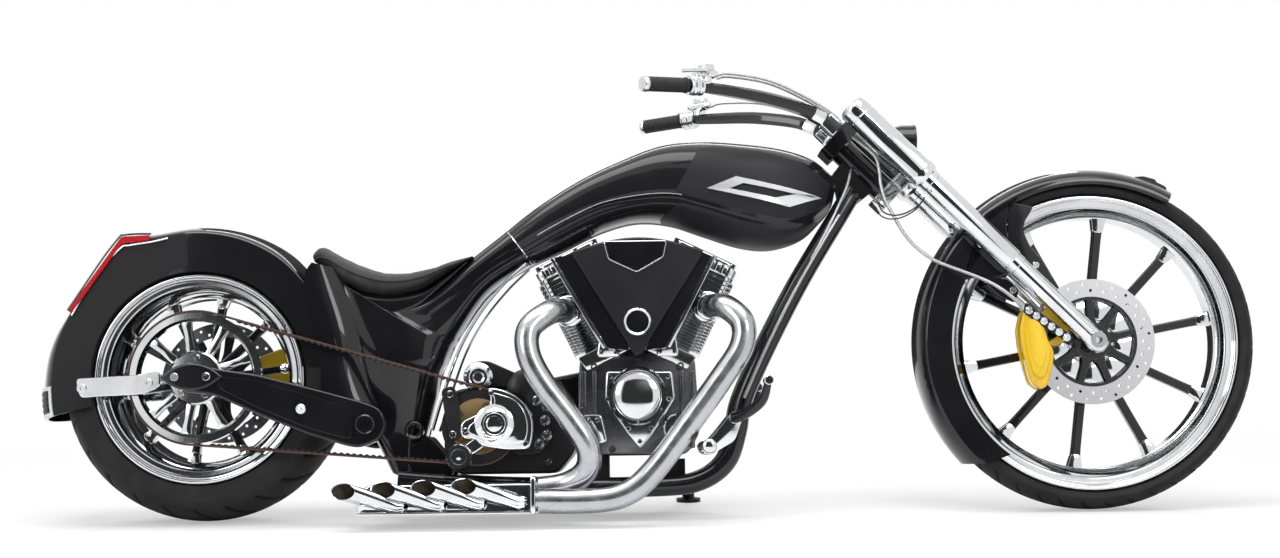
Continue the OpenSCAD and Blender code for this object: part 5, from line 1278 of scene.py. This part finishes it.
lever_path = smooth([(4, CYLINDER_UP + 1, -44), (20, CYLINDER_UP + 1, -26), (30, CYLINDER_UP + 1, -8),
                     (36, CYLINDER_UP - 1, 22), (40, CYLINDER_UP - 3, 50)], 6)
lever = tapered(lever_path, [0, 0.3, 0.85, 1], [6.5, 5.5, 4, 5], 16, 0.7)
switch_box = plate(rounded(-17, 17, 2, 20, 5), -44, -26, 3, 2)
reservoir = slab(rounded(-13, 13, -56, -24, 5), CYLINDER_UP + 6, CYLINDER_UP + 19, 2.5, 2)
controls = [post(clamp_rows), post(cylinder_rows, (0, CYLINDER_UP)), lever, switch_box, reservoir]
piece("hand_control_sets", "fork", chrome, *both(*map(on_grip, controls)), replaces=["hand_controls"],
      slot="chrome")

# Headlamp: a small black pod between the fork legs, on a post from the lower yoke.
# A black ring holds its fluted clear lens.
LAMP = neck_mid + (32, 77)


def lamp_turning(rows, sides=64):
    """A part turned about the lamp's axis. Row columns: distance ahead of its back, radius."""
    return tube([(LAMP[0] + x, 0, LAMP[1]) for x, r in rows], [r for x, r in rows], sides)[:2]


pod_rows = [(0, 8), (1, 18), (3, 23.5), (6, 25), (49, 36), (54, 37), (84, 37), (86, 36.5)]
piece("lamp_pod", "fork", gloss_black, lamp_turning(pod_rows),
      on_fork(post([(LOWER_YOKE + YOKE_T / 2 + 0.3, 14), (LOWER_YOKE + YOKE_T / 2 + 44, 13)], (0, -14))),
      replaces=["headlamp"], slot="black_paint")
ring_rows = [(82, 37.4), (83, 38), (87, 38), (88, 36.5)]
piece("lamp_ring", "fork", gloss_black, lamp_turning(ring_rows), slot="chrome")
lens_glass = Finish("lamp_glass", IOR=1.5, Coat_Weight=0.6, Transmission_Weight=0.35)
flutes = (lens_glass.axis(1) * 900).sine() * 0.5 + 0.5
lens_glass.wear(Base_Color=lens_glass.mix(lens_glass.noise(40, 3), (0.62, 0.64, 0.66), (0.78, 0.8, 0.82)),
                Roughness=lens_glass.noise(30, 3) * 0.06 + 0.05, Normal=lens_glass.bump(flutes, 0.0006))
piece("lamp_lens", "fork", lens_glass, lamp_turning([(86.5, 34), (88.2, 33), (89.5, 24), (90.2, 8)], 48),
      slot="chrome")

# Hoses: braided steel over rubber, along the bar, down to the front brake and down the frame.
# Thin black wires hang in a loop at the neck.
braid = Finish("steel_braid", Metallic=1.0)
weave = (braid.mark("along") * 2200).sine() * 0.5 + 0.5
braid.wear(Base_Color=braid.mix(weave, (0.30, 0.30, 0.31), (0.62, 0.62, 0.63)), Roughness=weave * 0.15 + 0.25,
           Normal=braid.bump(weave, 0.0005))
line_top = leg_at_neck + up * (UPPER_YOKE - YOKE_T / 2 - 0.3) + back * 45
from_front = places_from(front_axle)
hose_end = (-1.17 * DISC_R, 0.49 * DISC_R)
hose_line = [(line_top[0], -88, line_top[1]),
             *from_front([(-501, -97, 441), (-490, -97, 405), (-487, -97, 372), (-477, -96, 335),
                          (-461, -94, 304), (-439, -90, 265), (-415, -86, 234), (-384, -86, 207),
                          (-349, -92, 186), (-249, -140, 138), (hose_end[0] - 18, -142, hose_end[1] + 24),
                          (hose_end[0], -124, hose_end[1])])]
piece("front_brake_hose", "fork", braid, tube(smooth(hose_line, 8), 4, 16), replaces=["brake_line"],
      slot="braid")
bar_hose = smooth([(170, -214, 1004), (200, -200, 1010), (294, -158, 1000), (392, -112, 962), (452, -84, 926),
                   (478, -70, 890)], 8)
frame_hose = smooth([(488, -34, 806), (484, -62, 790), (476, -74, 764), (460, -80, 728), (432, -87, 672),
                     (404, -93, 621), (386, -96, 590)], 8)
piece("frame_hose", "chassis", braid, tube(frame_hose, 3.4, 14), slot="braid")
wire = smooth([(548, -70, 722), (556, -100, 698), (574, -132, 686), (599, -155, 687), (630, -158, 704),
               (648, -151, 726)], 8)
piece("neck_wires", "fork", grip_rubber, tube(wire, 1.8, 10), tube(wire + (-6, -1, -9), 1.6, 10),
      slot="rubber")
bar_hoses = [bar_hose, bar_hose + (0, 12, -5), bar_hose * (1, -1, 1)]
piece("bar_hoses", "fork", braid, *[tube(line, 3.2, 14) for line in bar_hoses], slot="braid")


# Front wheel: a tall narrow tyre on a chromed 26 inch rim, with ten black spokes on flared chromed feet.
# The brake disc is a ground steel ring on a black carrier, over bright wedges in the hub's face.
FRONT_LIP, FRONT_RIM_W, FRONT_HUB_Y = 693, 118, 52
front_turns = [10.7 + 360 / SPOKES * k for k in range(SPOKES)]
front_end = FRONT_LIP / 2 - 46
piece("front_tyre_tread", "front_wheel", rubber,
      tyre(front_axle, 780, 126, FRONT_LIP, FRONT_RIM_W, 0.36, 44, 0.7, 3.5), replaces=["front_tyre"],
      slot="tyre", sharp=50)
piece("front_rim_hoop", "front_wheel", chrome, rim_rings(front_axle, FRONT_LIP, FRONT_RIM_W, 42),
      slot="chrome")
front_hub = lathe([(12.6, -FRONT_HUB_Y), (44, -FRONT_HUB_Y), (48, -FRONT_HUB_Y + 5), (46, -30), (38, -22),
                   (38, 22), (46, 30), (48, FRONT_HUB_Y - 5), (44, FRONT_HUB_Y), (12.6, FRONT_HUB_Y)],
                  front_axle)
piece("front_spokes", "front_wheel", gloss_black, front_hub,
      *[blade(front_axle, a, 48, front_end, 13, 10.5, 13, 13) for a in front_turns], replaces=["front_rim"],
      slot="black_metal")
piece("front_spoke_feet", "front_wheel", chrome,
      *[foot_block(front_axle, a, front_end, front_end - 38, 11, 17, 14.5) for a in front_turns],
      slot="chrome")
FRONT_DISC = 74
piece("front_brake_ring", "front_wheel", ground,
      *drilled_ring(front_axle, (102, 112, 127, 142, DISC_R), 24, 3.6, -FRONT_DISC, -FRONT_DISC + DISC_T),
      replaces=["front_disc"], slot="steel")
carrier_bar = eased([(40, -15), (60, -7), (104, -7), (104, 7), (60, 7), (40, 15)], 6)
front_carrier = nine_bars(front_axle, 12, carrier_bar, -FRONT_DISC - 1, -FRONT_DISC + DISC_T, 1)
piece("front_brake_carrier", "front_wheel", gloss_black, *front_carrier,
      lathe([(98, -FRONT_DISC - 0.5), (105, -FRONT_DISC - 0.5), (105, -FRONT_DISC + DISC_T),
             (98, -FRONT_DISC + DISC_T)], front_axle),
      lathe([(14.5, -FRONT_DISC - 6), (40, -FRONT_DISC - 6), (44, -FRONT_DISC - 3), (44, -FRONT_HUB_Y),
             (14.5, -FRONT_HUB_Y)], front_axle), slot="black_metal")
wedge = eased([(52, -8), (60, -14), (94, -26), (99, 0), (94, 26), (60, 14), (52, 8)], 5)
wedges = nine_bars(front_axle, 32, wedge, -66, -57, 2.5)
piece("hub_wedges", "front_wheel", chrome, *wedges,
      lathe([(44, -60), (100, -60), (100, -55), (44, -55)], front_axle), slot="chrome")
dressed("front_axle_pin", alloy)

# Front fender: a gloss black steel shell that hugs the tyre, cut level at its foot and with a small fin at
# its tip. Webs on both sides bolt it to lugs on the fork legs.
def scaled(points, size):
    return [(x * size, z * size) for x, z in points]


FRONT_FENDER_R, FRONT_FENDER_HALF, FENDER_FROM, FENDER_TO, BEND = 411, 80, 60, 223, 80
bend_over = np.radians(np.linspace(-BEND, BEND, 25))
bend_reach = math.sin(math.radians(BEND))
fender_turns = np.linspace(FENDER_FROM, FENDER_TO, 110)
front_shell = []
for degrees in fender_turns:
    sweep = min(max((degrees - 128) / 16, 0), 1)
    skirt = FRONT_FENDER_R * (0.898 - 0.102 * sweep * sweep * (3 - 2 * sweep))
    tip = min((degrees - FENDER_FROM) / 5, (FENDER_TO - degrees) / 1.5, 1)
    skirt += (FRONT_FENDER_R - 36 - skirt) * (1 - math.sqrt(max(tip * (2 - tip), 0)))
    high, half, thin = FRONT_FENDER_R - 34, FRONT_FENDER_HALF, FRONT_FENDER_HALF - FENDER_SHEET
    walls = np.linspace(skirt, high, 5)[:-1]
    section = [*[(r, -half) for r in walls],
               *[(high + 34 * math.cos(t), half * math.sin(t) / bend_reach) for t in bend_over],
               *[(r, half) for r in walls[::-1]], *[(r, thin) for r in walls],
               *[(high - 2 + 32 * math.cos(t), thin * math.sin(t) / bend_reach) for t in bend_over[::-1]],
               *[(r, -thin) for r in walls[::-1]]]
    level_cut = 0.14 * min(max((degrees - 190) / 33, 0), 1)
    turns = [math.radians(degrees + level_cut * (FRONT_FENDER_R - r)) for r, y in section]
    front_shell.append([(front_axle[0] + r * math.cos(a), y, front_axle[1] + r * math.sin(a))
                        for a, (r, y) in zip(turns, section)])
web_shares = [(-0.377, 0.852), (-0.608, 0.73), (-0.73, 0.365), (-0.499, 0.377), (-0.377, 0.438),
              (-0.438, 0.511), (-0.474, 0.633), (-0.462, 0.73)]
web_line = eased(from_front(scaled(web_shares, FRONT_FENDER_R)), 22, 6)
ahead_line = eased(from_front([(-190, 330), (-128, 318), (-151, 281), (-154, 260), (-140, 226), (-110, 189),
                               (-88, 147), (-118, 150), (-190, 221)]), 10)
tab_line = eased(from_front([(-270, 165), (-193, 147), (-168, 122), (-178, 92), (-212, 107)]), 8)
webs = [slab(line, -FRONT_FENDER_HALF, -FRONT_FENDER_HALF + FENDER_SHEET, 1.5)
        for line in (web_line, ahead_line, tab_line)]
lug_at = np.array(front_axle) + up * 0.608 * FRONT_FENDER_R
lug = drum(lug_at, 12, -LEG_Y + 25, -FRONT_FENDER_HALF + 1, 1)
fin_polar = [(73, 409), (70, 418), (66, 421), (65.4, 416), (62, 416), (61, 408), (60.4, 398), (66, 402)]
fin_line = from_front([polar(r, a) for a, r in fin_polar])
fin = slab(eased(fin_line, 4, 3), -30, 30, 4, 2)
piece("front_fender_shell", "fork", gloss_black, folded_sheet(front_shell), *both(*webs, lug), fin,
      replaces=["front_fender"], slot="black_paint")
bolt_places = from_front(scaled([(-0.62, 0.56), (-0.443, 0.296), (-0.311, 0.438)], FRONT_FENDER_R))
piece("fender_bolts", "fork", chrome, *both(*screws(bolt_places, -FRONT_FENDER_HALF, r=8)), slot="chrome")

# Front caliper: a yellow four-piston block over the disc, cast in two halves.
# A black clamp with a row of chromed bolts holds it against the fork leg.
MID, PAD_GAP = -FRONT_DISC + DISC_T / 2, 9.6
caliper_shares = [(-1.13, 0.5), (-1.2, 0.2), (-1.18, -0.07), (-1.1, -0.44), (-1.04, -0.66), (-0.89, -0.77),
                  (-0.78, -0.7), (-0.68, -0.37), (-0.66, -0.15), (-0.75, 0.02), (-0.8, 0.22), (-0.85, 0.42),
                  (-0.98, 0.52)]
outer_line = eased(from_front(scaled(caliper_shares, DISC_R)), 9, 4)
middle = np.mean(outer_line, axis=0)
face_line, recess_line = ([tuple(middle + (np.array(p) - middle) * share) for p in outer_line]
                          for share in (0.74, 0.5))
caliper_arm = eased(from_front([(-134, 60), (-93, 85), (-56, 30), (-63, 3), (-90, -11), (-112, -4),
                                (-80, 15)]), 6)
piece("front_caliper_halves", "fork", yellow, slab(outer_line, MID - 44, MID - PAD_GAP, 7, 3),
      slab(outer_line, MID + PAD_GAP, MID + 26, 4, 2), slab(face_line, MID - 48, MID - 42, 3, 2),
      slab(recess_line, MID - 50, MID - 46, 2, 2), slab(caliper_arm, MID - 18, MID - PAD_GAP, 2),
      replaces=["front_caliper"], slot="yellow_paint")
bolt_line = from_front(np.linspace((-153, 72), (-68, 8), 6))
clamp_line = eased(from_front([(-160, 92), (-60, 16), (-72, 0), (-104, 22), (-166, 66)]), 8)
piece("caliper_clamp", "fork", satin_black, slab(clamp_line, MID - 47, MID - 38, 2), slot="black_metal")
piece("caliper_bolts", "fork", chrome, *[drum(p, 9, MID - 52, MID - 40, 2.5, steps=20) for p in bolt_line],
      *screws(bolt_line, MID - 51, r=4, height=2), slot="chrome")


# Foot controls: a chromed plate on each downtube carries a rubber-ringed peg with a turned end.
# A curved black pedal with a round chromed pad is pinned to it.
RAIL_OUT = RAIL_HALF + FRAME_TUBE / 2 + 0.3
foot_plate = slab(eased([(118, 150), (140, 136), (200, 170), (222, 232), (196, 240), (160, 196)], 12),
                  -RAIL_OUT - 10, -RAIL_OUT, 2)
peg_at = (138, 158)
peg_end = lathe([(CORE, -258), (9, -258), (15, -254), (16.5, -246), (15, -238), (12, -236), (12, -225),
                 (CORE, -225)], peg_at, 40)
pedal_path = smooth([(200, -146, 222), (232, -170, 236), (262, -196, 262), (274, -214, 302)], 8)
pedal = tapered(pedal_path, [0, 0.6, 1], [13, 11.5, 8], 24)
pad = tube([(274, y, 304) for y in (-190, -192, -248, -250)], [9, 11, 11, 9], 28)[:2]
pedal_pin = drum((200, 222), 13, -RAIL_OUT - 16, -RAIL_OUT - 9, 2)
piece("foot_control_sets", "chassis", chrome, *both(foot_plate, peg_end, pad, pedal_pin),
      replaces=["foot_controls"], slot="chrome")
piece("pedal_arms", "chassis", gloss_black, *both(pedal), slot="black_metal")
rib_rows = [(0, 12), (0.6, 14), (3.4, 14), (4, 12)]
peg_rows = [(-RAIL_OUT - 7, 10), *[(-RAIL_OUT - 12 - 5 * k - d, r) for k in range(17) for d, r in rib_rows]]
sleeve_line = [(CORE, -RAIL_OUT - 7), *[(r, y) for y, r in peg_rows], (10, -237), (CORE, -237)]
peg_sleeve = lathe(sleeve_line, peg_at, 40)
piece("peg_sleeves", "chassis", grip_rubber, *both(peg_sleeve), slot="rubber")

# Cable and side stand: a sheathed cable runs down the right downtube, and the bike leans on a black steel
# prop that swings on a pinned bracket under the left rail.
dressed("frame_cable", braid)
dressed("stand_bracket", satin_black)
dressed("side_stand", satin_black)
